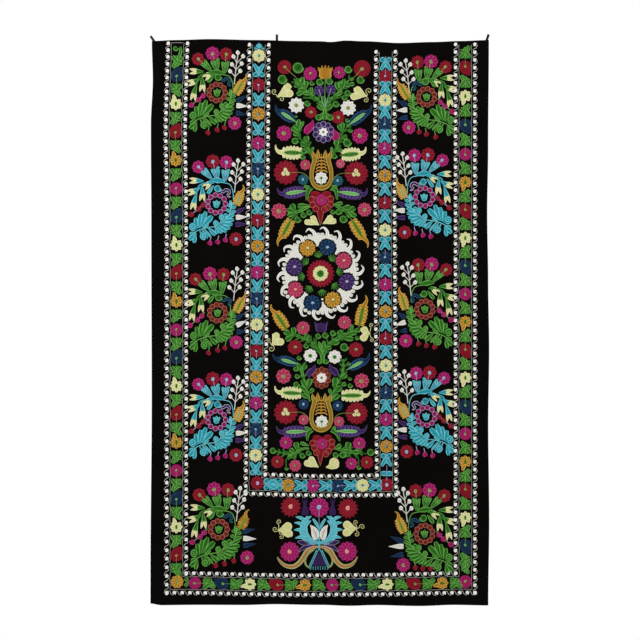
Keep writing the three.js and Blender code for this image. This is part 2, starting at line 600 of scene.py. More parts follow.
def tulip_bud(needle, centre, aim, calyx_thread, calyx_from):
    """A bud with two long points and a three-cornered calyx behind it."""
    way = cmath.rect(BUD_LENGTH, math.radians(aim))
    base = centre - 0.5 * way
    for side in (-1j, 1j):
        needle.fill(
            "cream",
            (base + 0.1 * side * way, centre + 0.2 * side * way, base + (1.0 + 0.3 * side) * way),
            BUD_LENGTH * BUD_HALVES,
        )
    needle.fill(
        calyx_thread, (calyx_from, 0.4 * calyx_from + 0.6 * base, base + 0.12 * way),
        BUD_LENGTH * CALYX_HALVES, lift=0.3,
    )


def wound_disc(needle, thread, place, radius, lift=0.0):
    """A curl of foliage: one row wound closely inwards, painted pale at its outer turn as a highlight.
    """
    needle.spiral(
        thread, place, radius, CURL_HALF, turns=radius / CURL_PITCH, lift=lift + OVER,
        tone=np.array((0.9, 0.6, 0.0, 0.0, 0.1)),
    )


def feathers(needle, spine, halves):
    """Narrow leaflets in pairs that lean along a stem, longer where the stem is broader."""
    line = through(spine)
    way = headings(line)
    half = graded(halves, len(line))
    step = round(FEATHER_PITCH / POINT_STEP)
    for k, spot in enumerate(range(step, len(line) - 1, step)):
        reach = FEATHER_REACH + FEATHER_GROWTH * half[spot]
        for side in (-1, 1):
            end = line[spot] + reach * way[spot] * cmath.rect(1, side * FEATHER_LEAN)
            leaflet(
                needle, "leaf_green", line[spot], end, FEATHER_HALF, -0.1 * side,
                lift=stagger(k), shape=CLUB,
            )


def foliage(needle, stems, lobes, curls):
    """A branch: stems that taper, the long ones feathered, round-ended lobes and wound curls."""
    for spine, halves in stems:
        feathered = len(spine) > 4
        needle.fill("leaf_green", spine, (0.6 if feathered else 1.0) * np.array(halves, float))
        if feathered:
            feathers(needle, spine, halves)
    for k, (root, end, half) in enumerate(lobes):
        leaflet(needle, "leaf_green", root, end, LOBE_BROAD * half, lift=stagger(k), shape=CLUB)
    for place, radius in curls:
        wound_disc(needle, "leaf_green", place, CURL_ROOM * radius, lift=0.6)


def hook_bow(end, hook, way):
    """How far a leaf's hooked tip bows out, on the side that the leaf points to."""
    bow = 1j * (hook - end)
    return -bow if (bow * way.conjugate()).real < 0 else bow


def scalloped_leaf(needle, base, end, hook, half, rim, core, core_share=0.36, vein=None):
    """A leaf with round scallops round a core of another colour, ending in a thin hooked tip."""
    axis = end - base
    way = axis / abs(axis)
    pitch = abs(axis) / SCALLOPS
    needle.fill(
        rim, (base, base + 0.5 * axis, end), half * np.array((0.4, 0.62, 0.68, 0.6, 0.35)),
        rim=0.0, tone=0.1,
    )
    for side in (-1j * way, 1j * way):
        for k in range(SCALLOPS):
            share = (k + 0.35) / SCALLOPS
            reach = half * math.sin(math.pi * (0.22 + 0.6 * share)) ** 0.7
            spot = base + axis * share
            needle.fill(
                rim, (spot + 0.3 * side * reach, spot + side * reach),
                0.5 * pitch * np.array((0.8, 1.0, 0.9, 0.4)), lift=0.2, rim=1.0,
            )
            if vein and k < SCALLOPS - 1:
                notch = spot + 0.5 * pitch * way
                needle.line(vein, (notch, notch + 0.8 * side * reach), 0.6, lift=TOPMOST, tone=-0.5)
    needle.fill(
        core, (base - 0.12 * axis, base + 0.45 * axis, end - 0.12 * axis),
        half * core_share * CORE_HALVES, lift=OVER,
    )
    bow = 0.2 * hook_bow(end, hook, way)
    needle.fill(
        rim, (end - 0.1 * axis, 0.75 * end + 0.25 * hook + bow, 0.3 * end + 0.7 * hook + bow, hook),
        half * HOOK_HALVES,
    )


def smooth_leaf(needle, base, end, hook, half):
    """A navy leaf with a waving edge that runs out into a hook, and a pale core on a stalk."""
    axis = end - base
    way = axis / abs(axis)
    bow = hook_bow(end, hook, way)
    needle.fill(
        "navy",
        (base, base + 0.35 * axis, base + 0.75 * axis, end + 0.12 * bow,
         0.5 * (end + hook) + 0.22 * bow, hook),
        half * np.array((0.3, 0.8, 1.0, 1.0, 0.85, 0.5, 0.25, 0.05)),
    )
    for side in (-1j, 1j):
        for share in (0.2, 0.42, 0.64, 0.84):
            root = base + axis * share
            reach = half * (0.7 + 0.5 * math.sin(math.pi * share))
            end_of_wave = root + (0.85 * side + 0.35) * way * reach
            leaflet(needle, "navy", root, end_of_wave, 0.11 * abs(axis))
    needle.fill(
        "pale_green", (base - 0.15 * axis, base + 0.4 * axis, end - 0.1 * axis),
        half * 0.36 * np.array((0.12, 0.3, 0.7, 1.0, 0.95, 0.4)), lift=OVER,
    )


def heart(needle, lobe_a, lobe_b, tip, half, thread):
    """Two rounded lobes that run together into one tip, with a paler edge painted as a highlight."""
    middle = 0.5 * (lobe_a + lobe_b)
    for lobe in (lobe_a, lobe_b):
        needle.disc(thread, lobe, half, rim=1.0, tone=-0.1)
        apart = lobe - middle
        needle.fill(
            thread, (tip, 0.5 * tip + 0.5 * middle + 0.3 * apart, lobe + 0.2 * (lobe - tip)),
            half * np.array((0.1, 0.42, 0.75, 0.9, 0.7)), tone=-0.1,
        )


def comma_petal(needle, body, tip, half, thread):
    """A curved petal, fat at its foot, with a paler edge painted as a highlight."""
    way = tip - body
    widths = half * np.array((0.5, 0.9, 1.0, 0.8, 0.45, 0.08))
    needle.fill(thread, (body - 0.45 * way, body, body + 0.5 * way + 0.12j * way, tip), widths, rim=1.0)


def comma_drop(needle, body, tip, radius, thread):
    """A round drop whose tip is drawn out to one side."""
    needle.fill(
        thread, (body + 0.3 * (body - tip), body, 0.45 * body + 0.55 * tip + 0.12j * (tip - body), tip),
        radius * np.array((0.3, 0.95, 1.0, 0.7, 0.35, 0.08)), tone=-0.1, rim=1.0,
    )
    needle.spiral(thread, body, 0.75 * radius, 1.2, turns=1.4, lift=OVER, tone=1.0)


def beads(needle, ring_radius, thread, edge):
    """A ring of outlined beads."""
    for place in around(BEADS, ring_radius, 0.0):
        needle.disc(thread, place, BEAD_RADIUS, rim=0.3)
        needle.ring(edge, place, BEAD_RADIUS - 0.6, 0.85, lift=OVER, tone=0.1)


# The running scroll and the borders

# Millimetres between the scroll's dots, radius of a dot, and how far the pale lines and the
# scrolls lie from a border's middle
SCROLL_PITCH = 32.0
SCROLL_DOT = 8.7
SCROLL_OUT = 40.0
LINE_OUT = 26.0
# The pale lines waver by hand: how far, in two waves of these lengths
LINE_WAVER = 0.8
WAVER_SHORT = 8.0
WAVER_LONG = 13.0
LINE_HALF = 0.6


def facing(needle, place, way, mirrored=False):
    """A needle at a place, turned so that its lower side looks along a direction."""
    return needle.at(place, math.degrees(cmath.phase(way / 1j)), mirrored=mirrored)


def running_scroll(needle, points, ease):
    """White wound dots, each with a thin tail that swings across to the next."""
    line = through(points, 1.0)
    count = max(2, int(round((len(line) - 1) / SCROLL_PITCH)))
    share = np.linspace(0, 1, count + 1)
    spots = ((len(line) - 1) * (share + ease * share * (share - 1))).astype(int)
    way = headings(line)
    for k, spot in enumerate(spots):
        here = facing(needle, line[spot], way[spot])
        here.disc("white", 0, SCROLL_DOT, tone=0.75, rim=0.3)
        if k < count:
            step = abs(line[spots[k + 1]] - line[spot])
            here.line(
                "silver",
                (0.7 * SCROLL_DOT + 0.6j * SCROLL_DOT, 0.75 * SCROLL_DOT + 0.42j * step,
                 -0.7 * SCROLL_DOT + 0.6j * step, -1.1 * SCROLL_DOT + 1j * (step - 0.2 * SCROLL_DOT)),
                0.95, tone=0.6,
            )


def border_bud(needle, thread, heart_thread):
    """A drop-shaped bud that leans to one side at its tip, with its heart and stalk, 60 mm long."""
    needle.fill(
        thread, (25j + 1, 13j, -5j + 1, -20j + 9, -35j + 18),
        24.0 * np.array((0.5, 0.9, 1.0, 0.98, 0.8, 0.5, 0.12)), rim=0.35,
    )
    needle.disc(heart_thread, 3j, 7.0, lift=OVER, rim=0.4)
    needle.line(heart_thread, (6j, 16j, 33j), 0.8, lift=OVER)


def border_star(needle, thread, heart_thread):
    """A flower of eight petals, one of them long and leaning to one side, 52 mm across."""
    for k in range(8):
        reach = 40.0 if k == 0 else 26.0
        out = cmath.rect(reach, 2 * math.pi * k / 8 - math.pi / 2 - (0.3 if k == 0 else 0))
        needle.fill(thread, (0.15 * out, 0.55 * out, out), 8.6 * np.array((0.4, 0.9, 1.0, 0.75, 0.25)))
    needle.fill(heart_thread, (-9j, 0, 9j), (2.0, 5.5, 2.0), lift=OVER)


def border_leaf(needle, follows=None):
    """A broad leaf that fills the band: a crown towards the flower before it, and a slanting end."""
    lean = -1 if follows in BUDS else 1
    needle.disc("leaf_green", 0, 18.0, rim=0.0)
    for root, end, half in (
        (4+10j, -21-23j, 9.2), (0+12j, -6-24j, 8.7), (0+12j, 8-25j, 8.7),
        (-4+10j, 21-22j, 9.2), (6 * lean, -21 * lean + 7j, 9.7),
        (-4 * lean - 4j, 18 * lean + 27j, 10.8), (0, 2 * lean + 22j, 9.7),
    ):
        leaflet(needle, "leaf_green", root, end, half, shape=BROAD_LOBE, lift=0.2)
    needle.line("leaf_green", (17 * lean + 26j, 5j, -12j), (0.9, 1.5, 0.8), lift=TOPMOST, tone=1.0)


def bow_leaf(needle, _follows=None):
    """Two forked legs above two curls, with a pale stalk through the middle."""
    for side in (-1, 1):
        needle.fill(
            "turquoise", (12j, -4j + 8 * side, -26j + 20 * side),
            8.2 * np.array((0.7, 1.0, 1.0, 0.9, 0.55)),
        )
        wound_disc(needle, "turquoise", 17j + 13 * side, 13.5)
    needle.fill("turquoise", (22j, 10j, -2j, -16j), (2.0, 6.8, 5.6, 3.4, 1.5), lift=0.2)
    needle.line("lilac", (32j, 14j, 6j), 1.0, lift=TOPMOST)


def border_flower(needle, thread):
    """A round flower of eight petals with a heart and a pale stalk, 54 mm across."""
    heart_thread = {"cream": "turquoise", "gold": "turquoise", "navy": "sky"}.get(thread, "lilac")
    flower(needle, 27.0, 8, thread, heart_thread, heart_share=0.22)
    needle.line("lilac", (6j, 18j, 32j), 0.8, lift=TOPMOST)


def corner_lobes(needle):
    """Two broad lobes on a pale stalk, between a corner flower and the leaf next to it."""
    for side in (-1, 1):
        needle.fill("turquoise", (0, 12 * side, 23 * side), (8.0, 11.0, 7.0))
    needle.line("lilac", (-34j, 0, 30j), 1.0, lift=TOPMOST)


def border_start(needle):
    """The curl and the two lobes that begin the outer border at the top edge."""
    wound_disc(needle, "leaf_green", -13j - 6, 13.0)
    needle.fill("leaf_green", (20j + 8, 2j + 15, -20j + 14), (5.0, 7.0, 3.0))
    needle.line("silver", (-36j - 25, -37j, -36j + 25), 0.75)


def border_crest(needle):
    """The small three-lobed crest that begins the inner border at the top edge."""
    for side in (-1, 1):
        wound_disc(needle, "turquoise", 8j + 14 * side, 9.0)
        leaflet(needle, "turquoise", 10j, -6j + 10 * side, 5.0, shape=CLUB)
    leaflet(needle, "turquoise", 12j, -12j + 0, 5.5, shape=CLUB)


# The layout: all places in millimetres, across from the middle and down from the top edge

OUTER_LEFT = (-590+8j, -600+365j, -596+760j, -596+2250j)
OUTER_BOTTOM = (-596+2248j, 0+2257j, 603+2248j)
OUTER_RIGHT = (603+2250j, 603+1100j, 603+14j)
INNER_LEFT = (-253+14j, -260+900j, -268+1838j)
INNER_BOTTOM = (-268+1837j, 0+1845j, 276+1842j)
INNER_RIGHT = (276+1842j, 269+500j, 273+45j)
BUDS = ("navy", "crimson", "magenta")


def shifted_run(points, offset, first_bend, last_bend):
    """A border line moved outwards, and lengthened where it turns a corner."""
    way = points[-1] - points[0]
    way = way / abs(way)
    moved = [p + 1j * way * offset for p in points]
    if first_bend:
        moved[0] -= way * offset
    if last_bend:
        moved[-1] += way * offset
    return moved


def border(needle, runs, sow, leaf, ease):
    """A U-shaped border: three runs with pale lines and scrolls on both sides."""
    for k, (points, flowers, leaves) in enumerate(runs):
        bends = (k > 0, k < 2)
        for side in (-1, 1):
            line = through(shifted_run(points, side * LINE_OUT, *bends))
            run = np.arange(len(line)) * POINT_STEP
            waver = np.sin(run / WAVER_SHORT + side * LINE_OUT) + np.sin(run / WAVER_LONG)
            needle.row("silver", line + sideways(line) * LINE_WAVER * waver, LINE_HALF, tone=-0.1)
            scroll = shifted_run(points, side * SCROLL_OUT, *bends)
            running_scroll(needle, scroll, 0.0 if k else ease)
        line = through(points, 1.0)
        way = headings(line)
        for sew, motifs in ((leaf, leaves), (sow, flowers)):
            for distance, thread in motifs:
                spot = int(min(max(distance, 0), len(line) - 1))
                sew(facing(needle, line[spot], way[spot], k == 2), thread)


def spaced(knots, threads):
    """Flowers in repeating colours, numbered from 0, at distances along a border that are given
    for a few of them, and the leaves between them with the colour of the flower after each."""
    numbers, distances = zip(*knots)
    last = numbers[-1]
    flowers = [
        (float(np.interp(k, numbers, distances)), threads[k % len(threads)]) for k in range(last)
    ]
    leaves = [
        (float(np.interp(k + 0.5, numbers, distances)), threads[(k + 1) % len(threads)])
        for k in range(-1, last)
    ]
    return flowers, leaves


def outer_flower(needle, thread):
    """A bud in the dark colours, a round flower in magenta and a star in the pale ones."""
    if thread == "magenta":
        full_flower(needle, 26, thread)
        needle.line("olive", (8j, 18j, 32j), 0.8, lift=TOPMOST)
    elif thread in BUDS:
        border_bud(needle, thread, "pale_green" if thread == "navy" else "olive")
    else:
        border_star(needle, thread, "leaf_green")


def sew_borders(needle):
    """The outer green border and the inner turquoise one."""
    blooms = ("navy", "cream", "crimson", "gold", "magenta")
    left = spaced(((-1, 18), (9, 1190), (18, 2242)), blooms)
    flowers, leaves = spaced(((-1, -37), (10, 1217)), blooms[-1:] + blooms[:-1])
    right = spaced(((-1, 42), (14, 1781), (18, 2264)), blooms)
    border(
        needle, ((OUTER_LEFT, *left), (OUTER_BOTTOM, flowers, leaves[1:]), (OUTER_RIGHT, *right)),
        outer_flower, border_leaf, 0.12,
    )
    border_start(needle.at(-593+43j))
    flower(needle.at(-593+2243j), 27, 9, "gold", "olive")
    for end in (-559+2228j, -561+2262j):
        leaflet(needle, "leaf_green", -546+2246j, end, 8.0, shape=CLUB)
    full_flower(needle.at(603+2243j), 27, "magenta")
    border_leaf(needle.at(603+2188j, size=0.8))
    flowers, leaves = spaced(((-1, -75), (3, 409), (6, 729), (16, 1813)), blooms[1:] + blooms[:1])
    bottom = spaced(((-1, 33), (4, 548)), blooms[3:] + blooms[:2])
    right = spaced(((-1, 48), (6, 833), (11, 1397), (15, 1798)), blooms[3:] + blooms[:3])
    bow_leaf(needle.at(-205+1838j, 90))
    corner_lobes(needle.at(277+1794j))
    border(
        needle, ((INNER_LEFT, flowers, leaves[1:]), (INNER_BOTTOM, *bottom), (INNER_RIGHT, *right)),
        border_flower, bow_leaf, 0.0,
    )
    border_crest(needle.at(-253+20j))
    for corner in (-260+1833j, 276+1840j):
        flower(needle.at(corner), 28, 8, "crimson", "lilac")


# Side paisleys

GREEN_PAISLEY = {
    "leaf": "leaf_green", "outer": "crimson", "middle": "magenta",
    "low": "magenta", "low_berry": "crimson", "berry": "magenta", "bead": "rust",
    "bead_edge": "peach", "heart": "olive", "petal": "navy", "s_leaf": "navy",
    "s_edge": "teal", "stalk": "pale_green", "core": "lime", "bead_ring": 34.0,
}
TURQUOISE_PAISLEY = {
    "leaf": "turquoise", "outer": "magenta", "middle": "crimson",
    "low": "crimson", "low_berry": "magenta", "berry": "crimson", "bead": "magenta",
    "bead_edge": "lilac", "heart": "sky", "petal": "purple", "s_leaf": "purple",
    "s_edge": "lilac", "stalk": "lilac", "core": "olive", "bead_ring": 37.0,
}
# Each paisley's ring, its tail, and how far its head is shifted. Those on the right are mirrored.
PAISLEYS = (
    (-427+213j, "green", 0j), (-429+675j, "blue", 3-14j), (-425+1127j, "raised", -13+0j),
    (-429+1571j, "blue", 3-8j), (-420+2026j, "left foot", 0j), (442+231j, "green", 15j),
    (432+647j, "blue", 3-14j), (435+1112j, "upright", -10-25j),
    (440+1557j, "blue", 4-20j), (433+2044j, "right foot", -2-14j),
)
# The open side of a paisley: how much its belly is widened, what share of the head's shift its
# buds follow, how far the white spray is shifted from the head, the serrated leaf's base, end and
# hook, the low flower, the pods from root to end with half width, and the low berries
PLAIN_TAIL = {"widen": 1.0, "buds": 0.6, "spray": 0j}
TAILS = {
    "green": {
        "leaf": (77+6j, 109-50j, 119-76j), "low": 73+127j,
        "pods": ((82+36j, 124+12j, 10.0), (80+54j, 126+57j, 10.5), (78+84j, 121+93j, 10.0)),
        "berries": (29+146j, -1+155j, -39+167j),
    },
    "blue": {
        "widen": 1.03, "leaf": (82+4j, 103-50j, 109-79j), "low": 80+146j,
        "pods": ((82+36j, 124+14j, 10.0), (80+56j, 128+54j, 10.5), (78+86j, 126+84j, 10.0)),
        "berries": (35+150j, 3+158j, -29+163j),
    },
    "raised": {
        "spray": 8-17j, "leaf": (76-4j, 105-60j, 112-86j), "low": 77+122j,
        "pods": ((76+25j, 114+1j, 9.5), (78+53j, 119+33j, 10.5), (78+80j, 120+76j, 10.0)),
        "berries": (29+146j, -1+155j, -39+167j),
    },
    "upright": {
        "buds": 0.3, "spray": -4+2j, "leaf": (80+0j, 98-64j, 103-92j), "low": 79+131j,
        "pods": ((82+36j, 112+14j, 10.0), (80+53j, 122+67j, 10.5), (74+87j, 106+93j, 10.0)),
        "berries": (25+144j, -8+151j, -42+157j),
    },
    "left foot": {
        "widen": 1.2, "leaf": (88-4j, 110-52j, 123-80j), "low": 114+113j,
        "pods": ((97+10j, 146-2j, 9.5), (98+36j, 151+38j, 10.5), (98+66j, 150+58j, 9.5)),
        "berries": (59+126j, 22+138j, -14+145j),
    },
    "right foot": {
        "widen": 1.08, "leaf": (82-6j, 106-62j, 119-90j), "low": 85+125j,
        "pods": ((86+32j, 138+10j, 10.0), (84+50j, 144+51j, 10.5), (84+82j, 136+92j, 10.0)),
        "berries": (35+136j, 5+139j, -26+140j),
    },
}
# The paisley's belly leaf, from the ring's middle: lobes from root to end with half width,
# pale stems with half width, and open curls with radius
FERN_LOBES = (
    (-80+104j, -88+58j, 7.5), (-74+100j, -66+42j, 8), (-68+98j, -44+32j, 8.5),
    (-60+96j, -18+50j, 9.5), (-56+100j, -34+84j, 5), (-86+118j, -112+128j, 7),
    (-86+120j, -114+150j, 8), (-86+122j, -94+162j, 7), (-72+108j, -50+150j, 4.5),
    (-62+104j, -38+143j, 4.5), (-55+101j, -24+138j, 4.5), (-36+98j, -4+130j, 7.5),
    (-8+95j, 6+124j, 5.5), (-4+94j, 22+121j, 6), (2+91j, 40+116j, 6.5),
    (8+86j, 54+103j, 7), (14+78j, 64+86j, 7), (20+71j, 70+66j, 7),
    (28+66j, 70+44j, 6.5), (22+62j, 42+42j, 6.5), (50+40j, 77+30j, 5.5),
    (55+22j, 77+11j, 5.5), (54+36j, 41+22j, 6), (56+14j, 45+2j, 5.5),
    (57+8j, 69-5j, 5), (57+30j, 56-14j, 5),
)
FERN_STEMS = (
    ((-104+132j, -77+110j, -35+98j, -10+95j, 6+87j, 17+74j, 19+58j, 12+47j), 1.6),
    ((-10+95j, 20+76j, 46+54j, 57+20j, 57-6j), 1.4),
)
FERN_CURLS = ((-98+95j, 18.5), (-54+134j, 17.0), (-2+80j, 13.5), (22+56j, 14.0))
# How much broader the lobes are than their table says
FERN_BROAD = 1.22
# A pod's half widths from root to end, as shares of the broadest
POD_HALVES = np.array((0.9, 1.0, 0.72, 0.4, 0.05))
# How much larger the lowest two paisleys are
FOOT_SIZE = 1.03


def paisley_fern(needle, look):
    """The curled leaf that forms the paisley's belly: stem, fan of lobes, fingers and curls."""
    leaf = look["leaf"]
    for k, (root, end, half) in enumerate(FERN_LOBES):
        leaflet(needle, leaf, root, end, FERN_BROAD * half, lift=stagger(k) - STAGGER, shape=CLUB)
    for stem, half in FERN_STEMS:
        needle.line(leaf, stem, half, lift=TOPMOST, tone=1.0)
    for centre, radius in FERN_CURLS:
        needle.disc(leaf, centre, radius, lift=TOPMOST, tone=-0.4, rim=0.0)
        needle.spiral(leaf, centre, radius, 1.7, start=60, turns=1.9, tone=1.0, lift=TOPMOST + OVER)


def paisley_head(needle, look):
    """Three flowers on fan leaves."""
    leaf = look["leaf"]
    needle.line(leaf, (20-75j, 49-68j, 60-52j, 65-34j, 67-3j), 1.6, tone=0.8)
    needle.fill(leaf, (-30-86j, 0-84j, 32-78j), (4.0, 12.0, 4.0), lift=0.1)
    for base, a, b, bloom, radius, thread in (
        (-25-92j, -64-112j, -44-131j, -79-139j, 26.5, look["outer"]),
        (0-90j, -25-122j, 8-135j, -19-162j, 29.0, look["middle"]),
        (31-80j, 19-120j, 50-123j, 37-159j, 27.5, look["outer"]),
    ):
        fan_leaf(needle, leaf, base, a, b)
        needle.line(look["stalk"], (base, bloom), 1.0, lift=TOPMOST)
        flower(needle.at(bloom), radius, 8, thread, look["heart"])


def paisley_curl(needle, look):
    """The lobe, the curl and the waving leaf between the head and the ring of beads."""
    leaf = look["leaf"]
    leaflet(needle, leaf, -12-76j, -38-42j, 8.0, shape=CLUB, lift=0.2)
    wound_disc(needle, leaf, 4-64j, 17.0, lift=0.3)
    line = through((11-57j, 26-50j, 38-58j, 50-55j, 54-46j, 46-37j, 50-29j, 58-29j))
    side = sideways(line) * graded((1.0, 5.5, 5.0, 4.0, 1.0), len(line))
    needle.row(look["s_leaf"], line, (1.5, 5.5, 5.0, 4.0, 1.5))
    for edge in (line + side, line - side):
        needle.row(look["s_edge"], edge, 1.0, lift=OVER, tone=0.8)


def paisley_buds(needle, look):
    """Five tulip buds on a branch, and three berries under them."""
    leaf = look["leaf"]
    needle.line(leaf, (-12-79j, -50-77j, -75-66j, -85-35j), 3.2, tone=0.2)
    for centre, aim, calyx_from in (
        (-98-88j, 180, -56-86j), (-42-68j, 140, -20-86j), (-107-41j, 165, -70-60j),
        (-61-19j, 95, -64-68j), (-98+17j, 98, -84-38j),
    ):
        tulip_bud(needle, centre, aim, leaf, calyx_from)
    for place, stalk in ((-58+12j, -46-2j), (-76+29j, -58+12j), (-106+51j, -76+29j)):
        berry(needle, place, 12.5, look["berry"], stalk, look["stalk"])


def paisley_tail(needle, look, tail, shift):
    """White berry spray, serrated leaf, pods, low flower and its berries, on the open side."""
    spray = needle.at(shift + tail["spray"])
    spray.line("white", (71-33j, 76-79j, 80-116j, 87-158j), 1.8)
    for place, joint in (
        (87-165j, 86-150j), (69-149j, 82-122j), (109-150j, 82-122j),
        (63-116j, 79-95j), (103-120j, 79-95j), (55-88j, 75-66j), (97-89j, 75-66j),
    ):
        berry(spray, place, 10.0, "white", joint, "white")
    scalloped_leaf(needle, *tail["leaf"], 21.0, "gold", look["core"], core_share=0.28)
    for (root, end, half), thread in zip(tail["pods"], (look["petal"], "white", look["petal"])):
        needle.fill(thread, (root, 0.5 * (root + end), end), half * POD_HALVES, rim=0.5)
    flower(needle.at(tail["low"]), 28.0, 9, look["low"], look["heart"])
    for place in tail["berries"]:
        berry(needle, place, 11.6, look["low_berry"], place + (6-26j), look["stalk"])


def paisley(needle, look, tail, shift):
    """One paisley round a ring of beads, its open side to the right."""
    beads(needle, look["bead_ring"], look["bead"], look["bead_edge"])
    needle.disc(look["leaf"], 5j, 13.0)
    for aim in (-130, -90, -50):
        way = cmath.rect(1, math.radians(aim))
        leaflet(needle, look["leaf"], 8j, 6j + 22 * way, 6.0, lift=0.3, shape=POINTED_PETAL)
    paisley_fern(needle.at(0, widen=tail["widen"]), look)
    paisley_head(needle.at(shift), look)
    paisley_curl(needle, look)
    paisley_buds(needle.at(tail["buds"] * shift), look)
    paisley_tail(needle, look, tail, shift)


def sew_paisleys(needle):
    """Ten side paisleys, green and turquoise in turn, mirrored on the right."""
    for place, tail, shift in PAISLEYS:
        look = TURQUOISE_PAISLEY if tail == "blue" else GREEN_PAISLEY
        size = FOOT_SIZE if tail in ("left foot", "right foot") else 1.0
        here = needle.at(place, size=size, mirrored=place.real > 0)
        paisley(here, look, PLAIN_TAIL | TAILS[tail], shift)


# Centre panel

# Half of a vase's wall from its tip down: out from the middle, share of the height, half width
VASE_WALL = (
    (24, 0.1, 11), (27, 0.22, 9.5), (31, 0.32, 9), (38, 0.46, 8.5), (41, 0.62, 8), (37, 0.78, 8),
    (23, 0.89, 9),
)
VASE_FOOT = (0, 0.93, 11)
VASE_TIPS = ((-35, 4), (-14, 0), (16, 2), (38, 4))
FISHBONES = (0.2, 0.28, 0.36, 0.44, 0.52)
SCALE_EDGE = {"half": 0.8, "tone": -0.4}


def tulip_crown(needle, thread, foot, points):
    """A cup that widens at its rim, with short thin points along it."""
    wide = max(abs(out) for out, _ in points)
    high = max(rise for _, rise in points)
    needle.fill(
        thread, (foot, foot - 0.35j * high, foot - 0.78j * high),
        wide * np.array((0.6, 0.95, 0.9, 0.95, 1.05)),
    )
    for out, rise in points:
        needle.fill(
            thread,
            (foot + 0.95 * out - 0.7j * rise, foot + out - 0.85j * rise, foot + 1.1 * out - 1j * rise),
            (4.5, 3.6, 1.08), lift=0.2,
        )


def vase(needle, crown, bottom, centre, bloom):
    """An open vase: a gold U-shaped wall with forked tips, and a fishbone above a white flower."""
    height = bottom - crown

    def at(out, share):
        return centre + out + 1j * (crown + height * share)

    wall = [(-out, share, half) for out, share, half in VASE_WALL] + [VASE_FOOT, *VASE_WALL[::-1]]
    needle.fill("ochre", [at(out, share) for out, share, _ in wall], [half for _, _, half in wall])
    for out, rise in VASE_TIPS:
        needle.fill(
            "ochre", (at(0.85 * out, 0.2), at(out, 0) + 1j * (rise + 14), at(1.05 * out, 0) + 1j * rise),
            (8.0, 7.0, 1.2), lift=0.2,
        )
    needle.line("gold", (at(0, 0.1), at(0, 0.54)), (1.4, 3.0), lift=0.2)
    for side in (-1, 1):
        for share in FISHBONES:
            reach = side * (8 + 34 * share)
            needle.line(
                "gold", (at(0, share), at(0.55 * reach, share - 0.015), at(reach, share + 0.035)),
                (2.8, 2.6, 2.0), tone=0.4,
            )
    flower(needle.at(bloom), 26, 8, "white", "leaf_green", heart_share=0.24)
    needle.line("pale_green", (bloom + 6j, bloom + 16j, bloom + 27j), 1.1, lift=TOPMOST)


def pendant(needle, crown, scales, bead, tail, bloom):
    """Crimson scales with pale edges in a heart, round one flower, with a tail."""
    needle.disc("crimson", bloom + 6j, 38.0, lift=-0.2, tone=-0.2, rim=0.0)
    for root, end in crown:
        leaflet(needle, "crimson", root, end, bead, shape=CROWN_SCALE)
        needle.line("peach", (root + 1j * bead, end + 0.9j * bead), lift=OVER, **SCALE_EDGE)
    for place in scales:
        needle.disc("crimson", place, bead, rim=0.2)
        needle.ring("peach", place, bead, lift=OVER, **SCALE_EDGE)
    head = tail - 54j
    middle = 0.5 * (head + tail)
    needle.fill("crimson", (head, middle, tail), (15.0, 12.0, 6.5, 1.5), lift=0.4, rim=0.3)
    for side in (-1, 1):
        edge = (head + 14 * side, middle + 9 * side, tail + 5j)
        needle.line("peach", edge, lift=TOPMOST, **SCALE_EDGE)
    flower(needle.at(bloom), 23, 8, "magenta", "olive", heart_share=0.2, lift=OVER)


def round_rosette(needle, radius, half_height, thread, edge, heart_radius):
    """A big flower of ten outlined round petals with a white flower in its middle."""
    needle.disc(thread, 0, 0.62 * radius)
    for way in around(10, 0.74):
        out = complex(radius * way.real, half_height * way.imag)
        needle.disc(thread, out, 0.25 * radius, lift=0.3, rim=0.3)
        needle.ring(edge, out, 0.245 * radius, 0.75, lift=OVER + 0.3)
    for out in around(7, heart_radius, 0.0):
        spine = (0.25 * out, 0.65 * out, out)
        needle.fill("white", spine, 0.33 * heart_radius * ROUND_PETAL, lift=TOPMOST)
    needle.disc("olive", 0, 0.22 * heart_radius, lift=2 * OVER + 0.4)


def curl_heart(needle, lobe_a, lobe_b, tip, curls, half=16.5):
    """A cream heart with thin open curls at its tip."""
    heart(needle, lobe_a, lobe_b, tip, half, "cream")
    for centre, radius in curls:
        start = math.degrees(cmath.phase(tip - centre))
        needle.spiral("cream", centre, radius + 2, 1.3, start=start, turns=1.5, tone=-0.2)
        reach = (radius + 0.5) * (tip - centre) / max(abs(tip - centre), radius)
        needle.line("cream", (tip, 0.5 * (tip + centre + reach), centre + reach), 1.4)


# The foliage of the centre panel: spines with half widths, lobes from root to end with half
# width, and curls with radius
TOP_STEMS = (
    ((19+318j, 17+277j, -8+243j, -32+224j, -60+202j, -91+179j, -108+156j),
     (9, 10, 7, 6, 7, 6, 3)),
    ((19+318j, 22+274j, 40+243j, 66+224j, 88+200j, 118+164j, 136+151j),
     (9, 10, 7, 6, 7, 6, 3)),
    ((6+255j, -32+238j, -70+234j), (2.5, 3.0, 4.0)),
    ((28+258j, 54+243j, 87+232j, 100+234j), (2.5, 3.0, 3.0)),
)
TOP_LOBES = (
    (-34+222j, -70+215j, 7), (-33+220j, -36+191j, 6), (-60+200j, -91+205j, 9),
    (-62+203j, -96+223j, 9), (-79+189j, -107+181j, 9), (-60+198j, -56+165j, 9),
    (-74+189j, -72+149j, 9), (-91+177j, -89+155j, 8), (52+234j, 94+210j, 7),
    (85+200j, 83+165j, 6), (75+205j, 68+170j, 9), (94+191j, 99+158j, 8),
    (102+184j, 124+181j, 9), (116+181j, 142+177j, 8), (19+277j, 14+227j, 9),
    (14+289j, -10+264j, 8), (28+291j, 49+262j, 8), (19+292j, 2+322j, 10),
    (19+292j, 36+322j, 10), (19+286j, 19+326j, 9),
)
